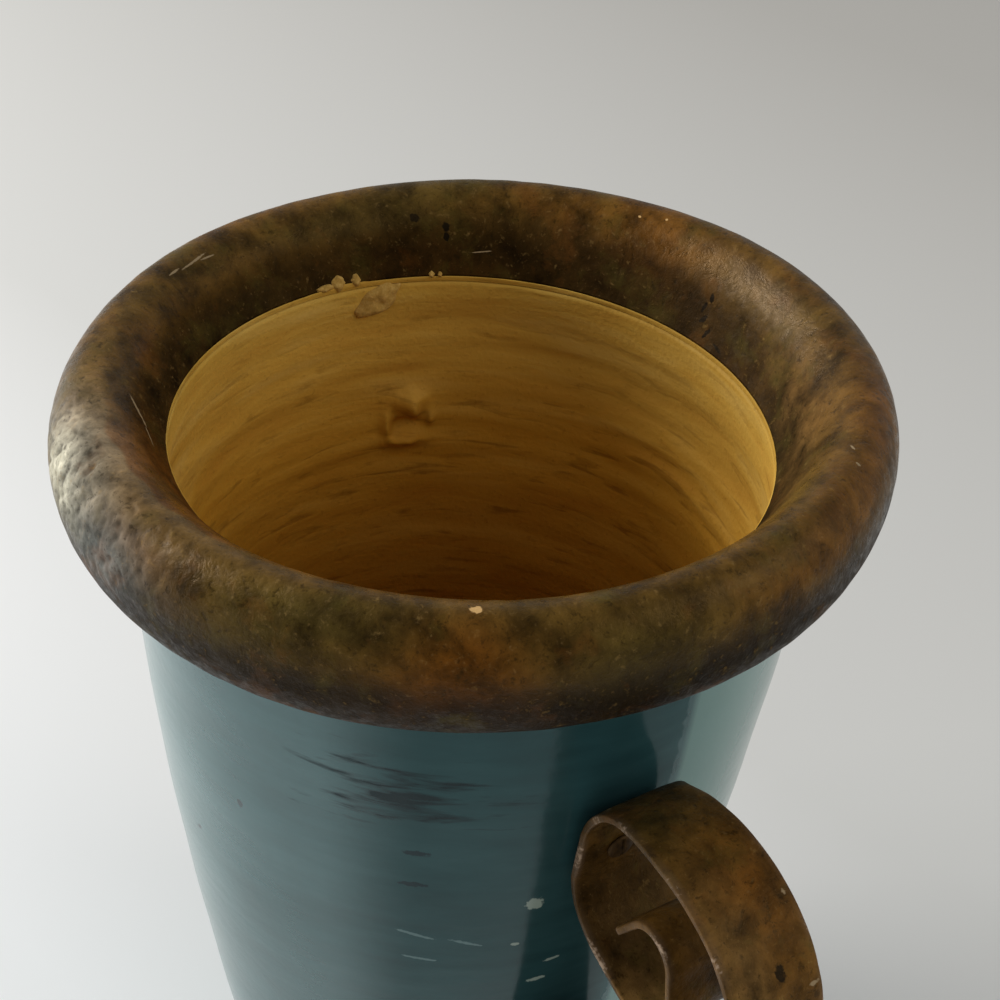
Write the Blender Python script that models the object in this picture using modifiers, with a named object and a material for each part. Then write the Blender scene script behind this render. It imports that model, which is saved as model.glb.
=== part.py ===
"""Ceramic planter: thrown pot, rolled rim collar and two strap scroll handles.

Metres, +Z up. The origin is the centre of the foot on the ground, and the handles lie along X.
"""

import math

import bmesh
import bpy

# Pot body
HEIGHT = 0.280              # ground to the top of the collar
FOOT_RADIUS = 0.062         # outer radius at the ground
STRAIGHT_SHARE = 0.45       # share of the taper that is a straight cone, the rest is a parabola
WALL = 0.010                # wall thickness, measured level
FLOOR = 0.012               # floor thickness above the recess
FOOT_RING = 0.012           # width of the ring that stands on the ground
FOOT_RECESS = 0.004         # depth of the recess inside the ring
DRAIN_RADIUS = 0.010        # drain hole
LIP_WIDTH = 0.0157          # width of the lip that carries the collar
LIP_EDGE = 0.002            # chamfer on the lip's outer edge
NECK_BLEND = 0.035          # height over which the inner wall closes in to the throat

# Rim collar and its bed
RIM_RADIUS = 0.115          # outermost radius
RIM_OVERHANG = 0.018        # how far the collar stands out from the pot's neck
RIM_HEIGHT = 0.036          # skirt to crest
RIM_ROLL = 0.0225           # full width of the rolled section
SEAM_DEPTH = 0.0212         # crest down to the seam with the inside wall
CREST_PULL = 0.40           # share of the inner slope that stays level at the crest
THROAT_PULL = 0.34          # share of the inner slope that stays straight at the throat
BED_THICKNESS = 0.0012      # filler between lip and collar
SKIRT_CLEARANCE = 0.0008    # play between the skirt and the neck

# Strap handles
STRAP_WIDTH = 0.025         # flat bar
STRAP_THICKNESS = 0.003
STRAP_EDGE = 0.0004         # broken corners of the bar
STRAP_OFFSET = -0.009       # how far the bar is set to one side of the pot's middle plane
PAD_DROP = 0.064            # skirt of the collar down to the end of the upper flat on the wall
PAD_LENGTH = 0.014          # length of the upper flat
TAIL_DROP = 0.094           # end of the upper flat down to the top of the lower flat
TAIL_LENGTH = 0.028         # length of the lower flat
SWEEP_PULL = 0.062          # how far the lower sweep keeps its direction at both ends
# Bends of the bar in order, each a radius, the heading that it ends on in degrees, and the
# straight run after it. Heading 0 is away from the pot and 90 is up.
SCROLL_BENDS = ((0.014, -55, 0.0), (0.026, -22, 0.011), (0.0145, 100, 0.010), (0.0085, 234, 0.012))
ARCH_BENDS = ((0.0232, 25, 0.0), (0.0435, -25, 0.0), (0.0355, -82, 0.0))

# Fixings: slotted screws in plugs that are let into the wall
SCREW_RADIUS = 0.002
BORE_CLEARANCE = 0.0003     # radial play of a screw or a plug in its hole
HEAD_RADIUS = 0.004
HEAD_HEIGHT = 0.0026
SLOT_WIDTH = 0.0011
SLOT_DEPTH = 0.0012
PLUG_RADIUS = 0.0035
PLUG_SINK = 0.0014          # depth of the plug's mouth under the wall's crown
PLUG_COVER = 0.0026         # wall that is left behind a plug
SCREW_SHORT = 0.001         # how far the screw stops short of the plug's end

GAP = 0.0003                # gap between pieces that touch
TURN_STEPS = 48             # facets round a large turned piece
FIXING_STEPS = 16           # facets round a fixing
BEND_STEP = math.radians(11)
BEVEL_ANGLE = math.radians(50)
WALL_POINTS = 15            # points along each side of the pot's wall
ROLL_POINTS = 13            # points round the collar's outer roll
SLOPE_POINTS = 9            # points down the collar's inner slope
SWEEP_POINTS = 14           # points along a handle's lower sweep
DOME_POINTS = 6             # points over a screw's head

NECK_RADIUS = RIM_RADIUS - RIM_OVERHANG
THROAT_RADIUS = NECK_RADIUS - LIP_WIDTH
SKIRT_BOTTOM = HEIGHT - RIM_HEIGHT
SEAM_HEIGHT = HEIGHT - SEAM_DEPTH
LIP_HEIGHT = SEAM_HEIGHT - BED_THICKNESS - 2 * GAP
FLOOR_TOP = FOOT_RECESS + FLOOR
PAD_LOW = SKIRT_BOTTOM - PAD_DROP
TAIL_LOW = PAD_LOW - TAIL_DROP - TAIL_LENGTH
PLUG_LENGTH = WALL - PLUG_SINK - PLUG_COVER


def clear_scene():
    """Remove every object of the open scene."""
    for item in list(bpy.data.objects):
        bpy.data.objects.remove(item, do_unlink=True)


def make_collection(name):
    """A collection linked to the scene."""
    collection = bpy.data.collections.new(name)
    bpy.context.scene.collection.children.link(collection)
    return collection


def make_material(name, colour, roughness, metallic=0.0):
    """A Principled BSDF material with one linear colour."""
    material = bpy.data.materials.new(name)
    material.use_nodes = True
    shader = material.node_tree.nodes["Principled BSDF"]
    shader.inputs["Base Color"].default_value = (*colour, 1.0)
    shader.inputs["Roughness"].default_value = roughness
    shader.inputs["Metallic"].default_value = metallic
    material.diffuse_color = (*colour, 1.0)
    return material


def add_object(name, mesh, collection, material=None, parent=None):
    """An object for a mesh, in a collection, with its material and parent."""
    item = bpy.data.objects.new(name, mesh)
    collection.objects.link(item)
    if material:
        mesh.materials.append(material)
    item.parent = parent
    return item


def add_turned(name, profile, steps, collection, material, parent=None):
    """Turn a closed outline of (radius, height) points about Z.

    The outline runs down its outer side. One whose ends lie on the axis stays open there.
    """
    mesh = bpy.data.meshes.new(name)
    points = [(radius, 0.0, height) for radius, height in profile]
    edges = [(i, i + 1) for i in range(len(points) - 1)]
    if profile[0][0] > 0:
        edges.append((len(points) - 1, 0))
    mesh.from_pydata(points, edges, [])
    item = add_object(name, mesh, collection, material, parent)
    screw = item.modifiers.new("turn", "SCREW")
    screw.steps = screw.render_steps = steps
    screw.use_merge_vertices = True
    screw.merge_threshold = 0.00001
    screw.use_smooth_shade = True
    return item


def add_cylinder(name, radius, low, high, sides, collection, material=None, parent=None):
    """A capped cylinder along Z between two heights."""
    mesh = bpy.data.meshes.new(name)
    shape = bmesh.new()
    bmesh.ops.create_cone(shape, cap_ends=True, segments=sides, radius1=radius, radius2=radius,
                          depth=high - low)
    bmesh.ops.translate(shape, vec=(0, 0, (low + high) / 2), verts=shape.verts)
    shape.to_mesh(mesh)
    shape.free()
    return add_object(name, mesh, collection, material, parent)


def cut(item, cutter):
    """Cut one object out of another."""
    boolean = item.modifiers.new("cut " + cutter.name, "BOOLEAN")
    boolean.operation = "DIFFERENCE"
    boolean.object = cutter


def mark_cutter(item):
    """Show a cutter as wire only."""
    item.hide_render = True
    item.display_type = "WIRE"


def outer_radius(height):
    """Outer radius of the pot: a cone and a parabola from the neck down to the foot."""
    if height >= SKIRT_BOTTOM:
        return NECK_RADIUS
    depth = (SKIRT_BOTTOM - height) / SKIRT_BOTTOM
    taper = STRAIGHT_SHARE * depth + (1 - STRAIGHT_SHARE) * depth ** 2
    return NECK_RADIUS - (NECK_RADIUS - FOOT_RADIUS) * taper


def inner_radius(height):
    """Inner radius of the pot: the outer wall less its thickness, closing in to the throat."""
    share = min(max((height - LIP_HEIGHT + NECK_BLEND) / NECK_BLEND, 0.0), 1.0)
    ease = share * share * (3 - 2 * share)
    return (outer_radius(height) - WALL) * (1 - ease) + THROAT_RADIUS * ease


def wall_normal(height):
    """Outward normal of the outer wall in the plane of radius and height."""
    step = 0.0005
    slope = (outer_radius(height + step) - outer_radius(height - step)) / (2 * step)
    length = math.hypot(1.0, slope)
    return 1.0 / length, -slope / length


def spread(start, end, count):
    """Evenly spaced values from start to end."""
    return [start + (end - start) * i / (count - 1) for i in range(count)]


def add_pot(collection, material):
    """The thrown wall and floor, with a foot ring and a drain hole."""
    profile = [(NECK_RADIUS - LIP_EDGE, LIP_HEIGHT), (NECK_RADIUS, LIP_HEIGHT - LIP_EDGE)]
    profile += [(outer_radius(z), z) for z in spread(SKIRT_BOTTOM, 0.0, WALL_POINTS)]
    ring = FOOT_RADIUS - FOOT_RING
    profile += [(ring, 0.0), (ring - FOOT_RECESS, FOOT_RECESS)]
    profile += [(DRAIN_RADIUS, FOOT_RECESS), (DRAIN_RADIUS, FLOOR_TOP)]
    profile += [(inner_radius(FLOOR_TOP) - WALL, FLOOR_TOP)]
    profile += [(inner_radius(z), z) for z in spread(FLOOR_TOP + WALL, LIP_HEIGHT, WALL_POINTS)]
    return add_turned("pot_body", profile, TURN_STEPS, collection, material)


def add_collar(collection, material):
    """The rolled ring: half an ellipse outside, a slope down to the throat, a seat on the lip."""
    width = RIM_ROLL / 2
    half = RIM_HEIGHT / 2
    middle = RIM_RADIUS - width
    level = HEIGHT - half
    roll = [(middle + width * math.sin(a), level + half * math.cos(a))
            for a in spread(0.0, math.pi, ROLL_POINTS)]
    skirt = NECK_RADIUS + SKIRT_CLEARANCE
    seat = [(skirt, SKIRT_BOTTOM + LIP_EDGE), (skirt, SEAM_HEIGHT)]
    throat = (THROAT_RADIUS, SEAM_HEIGHT)
    reach = middle - THROAT_RADIUS
    throat_pull = (THROAT_RADIUS + THROAT_PULL * reach, SEAM_HEIGHT + THROAT_PULL * SEAM_DEPTH)
    crest_pull = (middle - CREST_PULL * reach, HEIGHT)
    slope = bezier(throat, throat_pull, crest_pull, (middle, HEIGHT), SLOPE_POINTS)
    return add_turned("rim_collar", roll + seat + slope[:-1], TURN_STEPS, collection, material)


def add_bed(collection, material):
    """The thin bed of filler between the lip and the collar."""
    low = LIP_HEIGHT + GAP
    high = low + BED_THICKNESS
    outside = NECK_RADIUS - LIP_EDGE
    profile = [(outside, high), (outside, low), (THROAT_RADIUS, low), (THROAT_RADIUS, high)]
    return add_turned("rim_bedding", profile, TURN_STEPS, collection, material)


def bezier(start, pull_start, pull_end, end, count):
    """Points of a cubic curve."""
    points = []
    for t in spread(0.0, 1.0, count):
        weights = ((1 - t) ** 3, 3 * t * (1 - t) ** 2, 3 * t * t * (1 - t), t ** 3)
        corners = (start, pull_start, pull_end, end)
        points.append(tuple(sum(w * c[k] for w, c in zip(weights, corners)) for k in (0, 1)))
    return points


def arc(start, heading, radius, end_heading):
    """Points of an arc that leaves start along heading and turns until end_heading."""
    turn = end_heading - heading
    side = math.copysign(radius, turn)
    count = max(2, math.ceil(abs(turn) / BEND_STEP)) + 1
    return [(start[0] + side * (math.sin(a) - math.sin(heading)),
             start[1] - side * (math.cos(a) - math.cos(heading)))
            for a in spread(heading, end_heading, count)][1:]


def step_along(point, heading, length):
    """The point at a length along a heading."""
    return point[0] + length * math.cos(heading), point[1] + length * math.sin(heading)


def flat_on_wall(low, length):
    """Lower end and heading of a straight stretch of bar that lies on the outer wall.

    The wall bows outwards, so the stretch follows the wall's tangent at its own middle.
    """
    middle = low + length / 2
    normal = wall_normal(middle)
    off_wall = GAP + STRAP_THICKNESS / 2
    centre = (outer_radius(middle) + normal[0] * off_wall, middle + normal[1] * off_wall)
    rise = math.atan2(normal[0], -normal[1])
    return step_along(centre, rise, -length / 2), rise


def bend_along(start, heading, bends):
    """Points of a run of bends and straights that leaves start along heading."""
    points = [start]
    for radius, degrees, run in bends:
        points += arc(points[-1], heading, radius, math.radians(degrees))
        heading = math.radians(degrees)
        if run:
            points.append(step_along(points[-1], heading, run))
    return points, heading


def strap_path():
    """Middle line of the bar in the plane of radius and height, from the scroll's tip to the tail.

    It is laid from the flat on the wall: down and in round the scroll, then up and over the arch.
    """
    pad, up = flat_on_wall(PAD_LOW, PAD_LENGTH)
    scroll, _ = bend_along(pad, up - math.pi, SCROLL_BENDS)
    arch, fall = bend_along(step_along(pad, up, PAD_LENGTH), up, ARCH_BENDS)
    tail_end, rise = flat_on_wall(TAIL_LOW, TAIL_LENGTH)
    tail = step_along(tail_end, rise, TAIL_LENGTH)
    sweep = bezier(arch[-1], step_along(arch[-1], fall, SWEEP_PULL),
                   step_along(tail, rise, SWEEP_PULL), tail, SWEEP_POINTS)
    return scroll[::-1] + arch + sweep[1:] + [tail_end]


def add_strap(name, collection, material, parent):
    """The bar: a strip along the path with a thickness and broken corners."""
    path = strap_path()
    half = STRAP_WIDTH / 2
    rows = [(radius, STRAP_OFFSET - half, height) for radius, height in path]
    rows += [(radius, STRAP_OFFSET + half, height) for radius, height in path]
    count = len(path)
    faces = [(i, i + 1, count + i + 1, count + i) for i in range(count - 1)]
    mesh = bpy.data.meshes.new(name)
    mesh.from_pydata(rows, [], faces)
    mesh.shade_smooth()
    item = add_object(name, mesh, collection, material, parent)
    thick = item.modifiers.new("thickness", "SOLIDIFY")
    thick.thickness = STRAP_THICKNESS
    thick.offset = 0.0
    thick.use_even_offset = True
    edge = item.modifiers.new("corners", "BEVEL")
    edge.width = STRAP_EDGE
    edge.segments = 1
    edge.limit_method = "ANGLE"
    edge.angle_limit = BEVEL_ANGLE
    return item


def place_on_wall(item, height):
    """Put an object's origin on the wall's crown, under the bar, with its Z along the normal."""
    normal = wall_normal(height)
    item.location = (outer_radius(height), STRAP_OFFSET, height)
    item.rotation_euler = (0.0, math.atan2(normal[0], normal[1]), 0.0)


def add_slot_cutter(label, top, cutters, parent):
    """The block that cuts a screw's slot."""
    name = "slot_" + label
    mesh = bpy.data.meshes.new(name)
    shape = bmesh.new()
    bmesh.ops.create_cube(shape, size=1.0)
    bmesh.ops.scale(shape, vec=(3 * HEAD_RADIUS, SLOT_WIDTH, 2 * SLOT_DEPTH), verts=shape.verts)
    bmesh.ops.translate(shape, vec=(0, 0, top), verts=shape.verts)
    shape.to_mesh(mesh)
    shape.free()
    return add_object(name, mesh, cutters, None, parent)


def add_fixing(label, height, strap, pot, parts, cutters, finishes, parent):
    """Screw through the bar into a plug in the wall, square to the wall at a height.

    Along the screw, zero is the crown of the outer wall and plus is away from the pot.
    """
    seat = 2 * GAP + STRAP_THICKNESS
    top = seat + HEAD_HEIGHT
    plug_end = -PLUG_SINK - PLUG_LENGTH
    tip = plug_end + SCREW_SHORT
    hole = SCREW_RADIUS + BORE_CLEARANCE

    dome = [(HEAD_RADIUS * math.sin(a), seat + HEAD_HEIGHT * math.cos(a))
            for a in spread(0.0, math.pi / 2, DOME_POINTS)]
    shank = [(SCREW_RADIUS, seat), (SCREW_RADIUS, tip), (0.0, tip)]
    screw = add_turned("handle_screw_" + label, dome + shank, FIXING_STEPS, parts, finishes["steel"],
                       parent)
    sleeve = [(PLUG_RADIUS, -PLUG_SINK), (PLUG_RADIUS, plug_end), (hole, plug_end), (hole, -PLUG_SINK)]
    plug = add_turned("wall_plug_" + label, sleeve, FIXING_STEPS, parts, finishes["plug"], parent)
    slot = add_slot_cutter(label, top, cutters, parent)
    bore = add_cylinder("bore_" + label, hole, 0.0, top, FIXING_STEPS, cutters, None, parent)
    pocket = add_cylinder("pocket_" + label, PLUG_RADIUS + BORE_CLEARANCE, plug_end - GAP, GAP,
                          FIXING_STEPS, cutters, None, parent)
    for item in (screw, plug, slot, bore, pocket):
        place_on_wall(item, height)
    for item in (slot, bore, pocket):
        mark_cutter(item)
    cut(screw, slot)
    cut(strap, bore)
    cut(pot, pocket)


def build():
    """Make every piece of the planter."""
    clear_scene()
    parts = make_collection("planter")
    cutters = make_collection("planter_cutters")
    glaze = make_material("teal_glaze", (0.085, 0.170, 0.172), 0.32)
    rust = make_material("rust_patina", (0.090, 0.055, 0.025), 0.45)
    filler = make_material("ochre_filler", (0.400, 0.230, 0.050), 0.80)
    bar = make_material("rusted_bar", (0.085, 0.050, 0.022), 0.50, 0.3)
    finishes = {"steel": make_material("dull_steel", (0.150, 0.120, 0.090), 0.45, 0.8),
                "plug": make_material("grey_plug", (0.220, 0.220, 0.210), 0.60)}

    pot = add_pot(parts, glaze)
    add_collar(parts, rust)
    add_bed(parts, filler)
    for label, turn in (("right", 0.0), ("left", math.pi)):
        side = bpy.data.objects.new("side_" + label, None)
        parts.objects.link(side)
        side.rotation_euler = (0.0, 0.0, turn)
        strap = add_strap("handle_" + label, parts, bar, side)
        fixings = (("upper", PAD_LOW + PAD_LENGTH / 2), ("lower", TAIL_LOW + TAIL_LENGTH / 2))
        for level, height in fixings:
            add_fixing(label + "_" + level, height, strap, pot, parts, cutters, finishes, side)
    bpy.context.view_layer.update()


build()
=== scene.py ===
"""Looks of a thrown planter: glazed pot, patinated rim collar and flat-bar scroll handles.

Metres, +Z up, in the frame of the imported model: the origin is the centre of the foot on the ground.
"""

import math

import bpy
import numpy as np
from mathutils import Matrix, Vector


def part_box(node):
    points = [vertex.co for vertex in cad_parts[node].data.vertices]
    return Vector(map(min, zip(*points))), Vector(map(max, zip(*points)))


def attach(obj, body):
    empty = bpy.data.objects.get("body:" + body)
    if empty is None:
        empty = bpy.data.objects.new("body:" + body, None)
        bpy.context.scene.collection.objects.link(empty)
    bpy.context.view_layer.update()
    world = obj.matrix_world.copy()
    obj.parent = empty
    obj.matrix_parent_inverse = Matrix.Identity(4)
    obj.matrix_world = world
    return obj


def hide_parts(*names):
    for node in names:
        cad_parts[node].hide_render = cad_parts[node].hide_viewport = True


bl_info = {
    "name": "Thrown planter",
    "version": (1, 0, 0),
    "blender": (4, 5, 0),
    "location": "3D View > Sidebar > Planter",
    "description": "Builds the looks of a glazed planter with a rolled rim and bar handles",
    "category": "Add Mesh",
}

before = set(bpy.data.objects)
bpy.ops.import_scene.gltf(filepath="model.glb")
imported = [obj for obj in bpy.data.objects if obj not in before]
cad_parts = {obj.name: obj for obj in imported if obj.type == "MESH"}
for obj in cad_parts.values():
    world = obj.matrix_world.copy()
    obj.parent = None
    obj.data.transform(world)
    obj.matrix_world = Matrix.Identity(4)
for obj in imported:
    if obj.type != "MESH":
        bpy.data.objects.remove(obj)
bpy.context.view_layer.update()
RIM_LOW, RIM_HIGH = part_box("rim_collar")
POT_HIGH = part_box("pot_body")[1]
BED_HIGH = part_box("rim_bedding")[1]
BAR_LOW, BAR_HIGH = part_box("handle_right")

BODY = "root"
SIDES = (("right", 0.0), ("left", math.pi))


def linear(code):
    """Linear RGB of an sRGB hex colour."""
    srgb = np.array([int(code[i:i + 2], 16) for i in (1, 3, 5)]) / 255
    return tuple(np.where(srgb <= 0.04045, srgb / 12.92, ((srgb + 0.055) / 1.055) ** 2.4))


def per_mm(size):
    """Texture scale at which one feature is about this many millimetres."""
    return 1000.0 / size


# Settings that a user would change

def length(name, description, default):
    """A length in metres."""
    return bpy.props.FloatProperty(name=name, description=description, default=default, precision=4,
                                   subtype="DISTANCE", unit="LENGTH")


def turn(name, description, degrees):
    """An angle, given in degrees."""
    return bpy.props.FloatProperty(name=name, description=description, default=math.radians(degrees),
                                   subtype="ANGLE", unit="ROTATION")


def share(name, description, default):
    """A plain number."""
    return bpy.props.FloatProperty(name=name, description=description, default=default)


def colour(name, description, code):
    """A colour, given as sRGB hex."""
    return bpy.props.FloatVectorProperty(name=name, description=description, default=linear(code),
                                         size=3, min=0.0, max=1.0, subtype="COLOR")


class PotSettings(bpy.types.PropertyGroup):
    """The thrown wall and floor."""

    foot_radius: length("Foot radius", "Outer radius at the ground", 0.062)
    neck_radius: length("Neck radius", "Outer radius under the collar", POT_HIGH.x)
    lip_height: length("Lip height", "Top of the clay wall", POT_HIGH.z - 0.0015)
    straight_share: share("Straight share", "Share of the taper that is a cone", 0.45)
    wall: length("Wall", "Thickness of the wall, measured level", 0.010)
    floor_top: length("Floor top", "Height of the floor inside", 0.016)
    foot_ring: length("Foot ring", "Width of the ring on the ground", 0.012)
    foot_recess: length("Foot recess", "Depth of the recess in the foot", 0.004)
    drain_radius: length("Drain radius", "Radius of the drain hole", 0.010)
    lip_width: length("Lip width", "Width of the lip that carries the collar", 0.0135)
    neck_blend: length("Neck blend", "Height over which the wall closes in to the throat", 0.035)
    glaze: colour("Glaze", "Teal glaze outside", "#284e50")
    slip: colour("Slip", "Ochre slip inside", "#d0ab52")


class CollarSettings(bpy.types.PropertyGroup):
    """The rolled rim collar."""

    radius: length("Radius", "Outermost radius", RIM_HIGH.x)
    roll: length("Roll", "Full width of the rolled section", 0.0225)
    seam_depth: length("Seam depth", "Crest down to the seam", 0.0227)
    edge_back: length("Edge back", "How far the slope stops short of the seam's corner", 0.0004)
    skirt_radius: length("Skirt radius", "Inner radius of the skirt", POT_HIGH.x + 0.0008)
    throat_rise: turn("Throat rise", "Steepness of the slope at the throat", 56.0)
    throat_pull: share("Throat pull", "Share of the slope that stays straight at the throat", 0.20)
    crest_pull: share("Crest pull", "Share of the slope that stays level at the crest", 0.50)
    lean: turn("Lean", "How far the crest leans against the throat", 2.78)
    lean_towards: turn("Lean towards", "Direction in which the crest is highest", 56.0)
    pits: length("Pits", "Depth of the pitting on the weathered side", 0.0007)
    hand_marks: length("Hand marks", "Depth of the dents left by forming the roll", 0.0003)
    patina: colour("Patina", "Brown ground of the patina", "#6a4c1e")


class BarSettings(bpy.types.PropertyGroup):
    """The flat-bar handles and their fixings."""

    width: length("Width", "Width of the bar", BAR_HIGH.y - BAR_LOW.y)
    thickness: length("Thickness", "Thickness of the bar", 0.003)
    near_flare: length("Near flare", "How much wider the bar is hammered on its near side", 0.0031)
    far_flare: length("Far flare", "How much wider it is at the arch's root", 0.0016)
    far_trim: length("Far trim", "How much narrower the bar is on its far side", 0.0008)
    fishtail: length("Fishtail", "How much wider the scroll is hammered on its far side", 0.0095)
    edge_draw: share("Edge draw", "Share of the thickness lost where the edges are drawn thin", 0.22)
    corner: length("Corner", "Radius of the bar's corners", 0.0007)
    offset: length("Offset", "How far the bar is set to one side", (BAR_HIGH.y + BAR_LOW.y) / 2)
    gap: length("Gap", "Gap between bar and wall", 0.0003)
    pad_low: length("Pad low", "Lower end of the upper flat", RIM_LOW.z - 0.064)
    pad_length: length("Pad length", "Length of the upper flat", 0.014)
    tail_low: length("Tail low", "Lower end of the lower flat", RIM_LOW.z - 0.186)
    tail_length: length("Tail length", "Length of the lower flat", 0.028)
    sweep_pull: length("Sweep pull", "How far the sweep keeps its direction at its ends", 0.062)
    head_radius: length("Head radius", "Radius of a screw's head", 0.004)
    head_height: length("Head height", "Height of a screw's head", 0.0016)
    shank_radius: length("Shank radius", "Radius of a screw's shank", 0.002)
    shank_depth: length("Shank depth", "How far a screw goes into the wall", 0.0064)
    slot_width: length("Slot width", "Width of a screw's slot", 0.0011)
    slot_depth: length("Slot depth", "Depth of a screw's slot", 0.0009)
    rust: colour("Rust", "Brown of the bar", "#6e4d20")


class StageSettings(bpy.types.PropertyGroup):
    """Camera, lights and floor."""

    distance: length("Distance", "Camera to the middle of the rim", 0.54995)
    azimuth: turn("Azimuth", "Direction of the camera from the pot", -34.0)
    elevation: turn("Elevation", "Height of the camera above the rim", 34.266)
    yaw: turn("Yaw", "Camera turned left", -0.895)
    pitch: turn("Pitch", "Camera turned up", -2.313)
    roll: turn("Roll", "Camera turned about its view", -4.028)
    target_height: length("Target height", "Height of the rim's middle", 0.262)
    lens: share("Lens", "Focal length in millimetres on a 36 mm sensor", 72.0)
    key_azimuth: turn("Key azimuth", "Direction of the key light", 220.0)
    key_elevation: turn("Key elevation", "Height of the key light", 23.0)
    key_size: length("Key size", "Diameter of the key light", 1.3)
    key_power: share("Key power", "Power of the key light in watts", 56.0)
    fill_azimuth: turn("Fill azimuth", "Direction of the fill light", 40.0)
    fill_elevation: turn("Fill elevation", "Height of the fill light", 35.0)
    fill_size: length("Fill size", "Diameter of the fill light", 1.6)
    fill_power: share("Fill power", "Power of the fill light in watts", 13.0)
    light_distance: length("Light distance", "Lights to the pot", 2.2)
    sky: share("Sky", "Strength of the even light from all round", 0.45)
    floor: colour("Floor", "Pale floor", "#fafafa")


# Bends of the bar in order: radius, heading at the end in degrees, straight run after it.
# Heading 0 is away from the pot and 90 is up.
SCROLL_BENDS = ((0.014, -55, 0.0), (0.026, -22, 0.011), (0.0145, 100, 0.010), (0.0085, 234, 0.012))
ARCH_BENDS = ((0.0232, 25, 0.0), (0.0435, -25, 0.0), (0.0355, -82, 0.0))


# Shared shape functions

def smooth(value, low, high):
    """Ease from 0 at low to 1 at high."""
    t = np.clip((value - low) / (high - low), 0.0, 1.0)
    return t * t * (3 - 2 * t)


def bell(value, middle, half_width, power=2):
    """A bell shape: 1 at the middle, about a third at the half width. A higher power flattens its top."""
    return np.exp(-((value - middle) / half_width) ** power)


def turned_from(angle, degrees):
    """Angles as degrees either side of an azimuth."""
    return (np.degrees(angle) - degrees + 180.0) % 360.0 - 180.0


def waves(seed, angle, along, turns, pitch, count=24):
    """Uneven relief that closes round the pot, about -1 to 1.

    The sum of cosines, each with a whole number of turns up to a limit, a wave length along the
    profile no shorter than the pitch, and a phase of its own.
    """
    rng = np.random.default_rng(seed)
    total = 0.0
    for _ in range(count):
        round_about = rng.integers(-turns, turns + 1)
        rate = rng.uniform(0.35, 1.0) * rng.choice((-1, 1)) * 2 * np.pi / pitch
        total = total + np.cos(round_about * angle + rate * along + rng.uniform(0, 2 * np.pi))
    return total / math.sqrt(2 * count)


def crumple(seed, a, b, pitch, count=18):
    """Uneven relief over a plane, about -1 to 1: the sum of cosines in all directions."""
    rng = np.random.default_rng(seed)
    total = 0.0
    for _ in range(count):
        heading = rng.uniform(0, 2 * np.pi)
        rate = rng.uniform(0.4, 1.0) * 2 * np.pi / pitch
        total = total + np.cos(rate * (a * np.cos(heading) + b * np.sin(heading)) + rng.uniform(0, 2 * np.pi))
    return total / math.sqrt(2 * count)


def line(start, end, count):
    """Points from start up to, but without, end."""
    t = np.linspace(0.0, 1.0, count, endpoint=False)[:, None]
    return np.asarray(start) * (1 - t) + np.asarray(end) * t


def cubic(start, pull_start, pull_end, end, count):
    """Points of a cubic curve through four corners, end included."""
    t = np.linspace(0.0, 1.0, count)[:, None]
    corners = [np.asarray(corner) for corner in (start, pull_start, pull_end, end)]
    weights = ((1 - t) ** 3, 3 * t * (1 - t) ** 2, 3 * t * t * (1 - t), t ** 3)
    return sum(weight * corner for weight, corner in zip(weights, corners))


def distance_along(points):
    """Distance from the first point along a line of points."""
    steps = np.linalg.norm(np.diff(points, axis=0), axis=1)
    return np.concatenate(([0.0], np.cumsum(steps)))


def side_of(points, closed=False):
    """Unit normals of a plane line, to the right of its direction."""
    if closed:
        step = np.roll(points, -1, axis=0) - np.roll(points, 1, axis=0)
    else:
        step = np.gradient(points, axis=0)
    normal = np.column_stack((step[:, 1], -step[:, 0]))
    return normal / np.linalg.norm(normal, axis=1)[:, None]


def turned(radius, height, angle):
    """Points of a turned surface: radius and height for each row, angle for each column."""
    return np.stack((radius * np.cos(angle), radius * np.sin(angle),
                     np.broadcast_to(height, np.broadcast(radius, angle).shape)), axis=-1)


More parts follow.
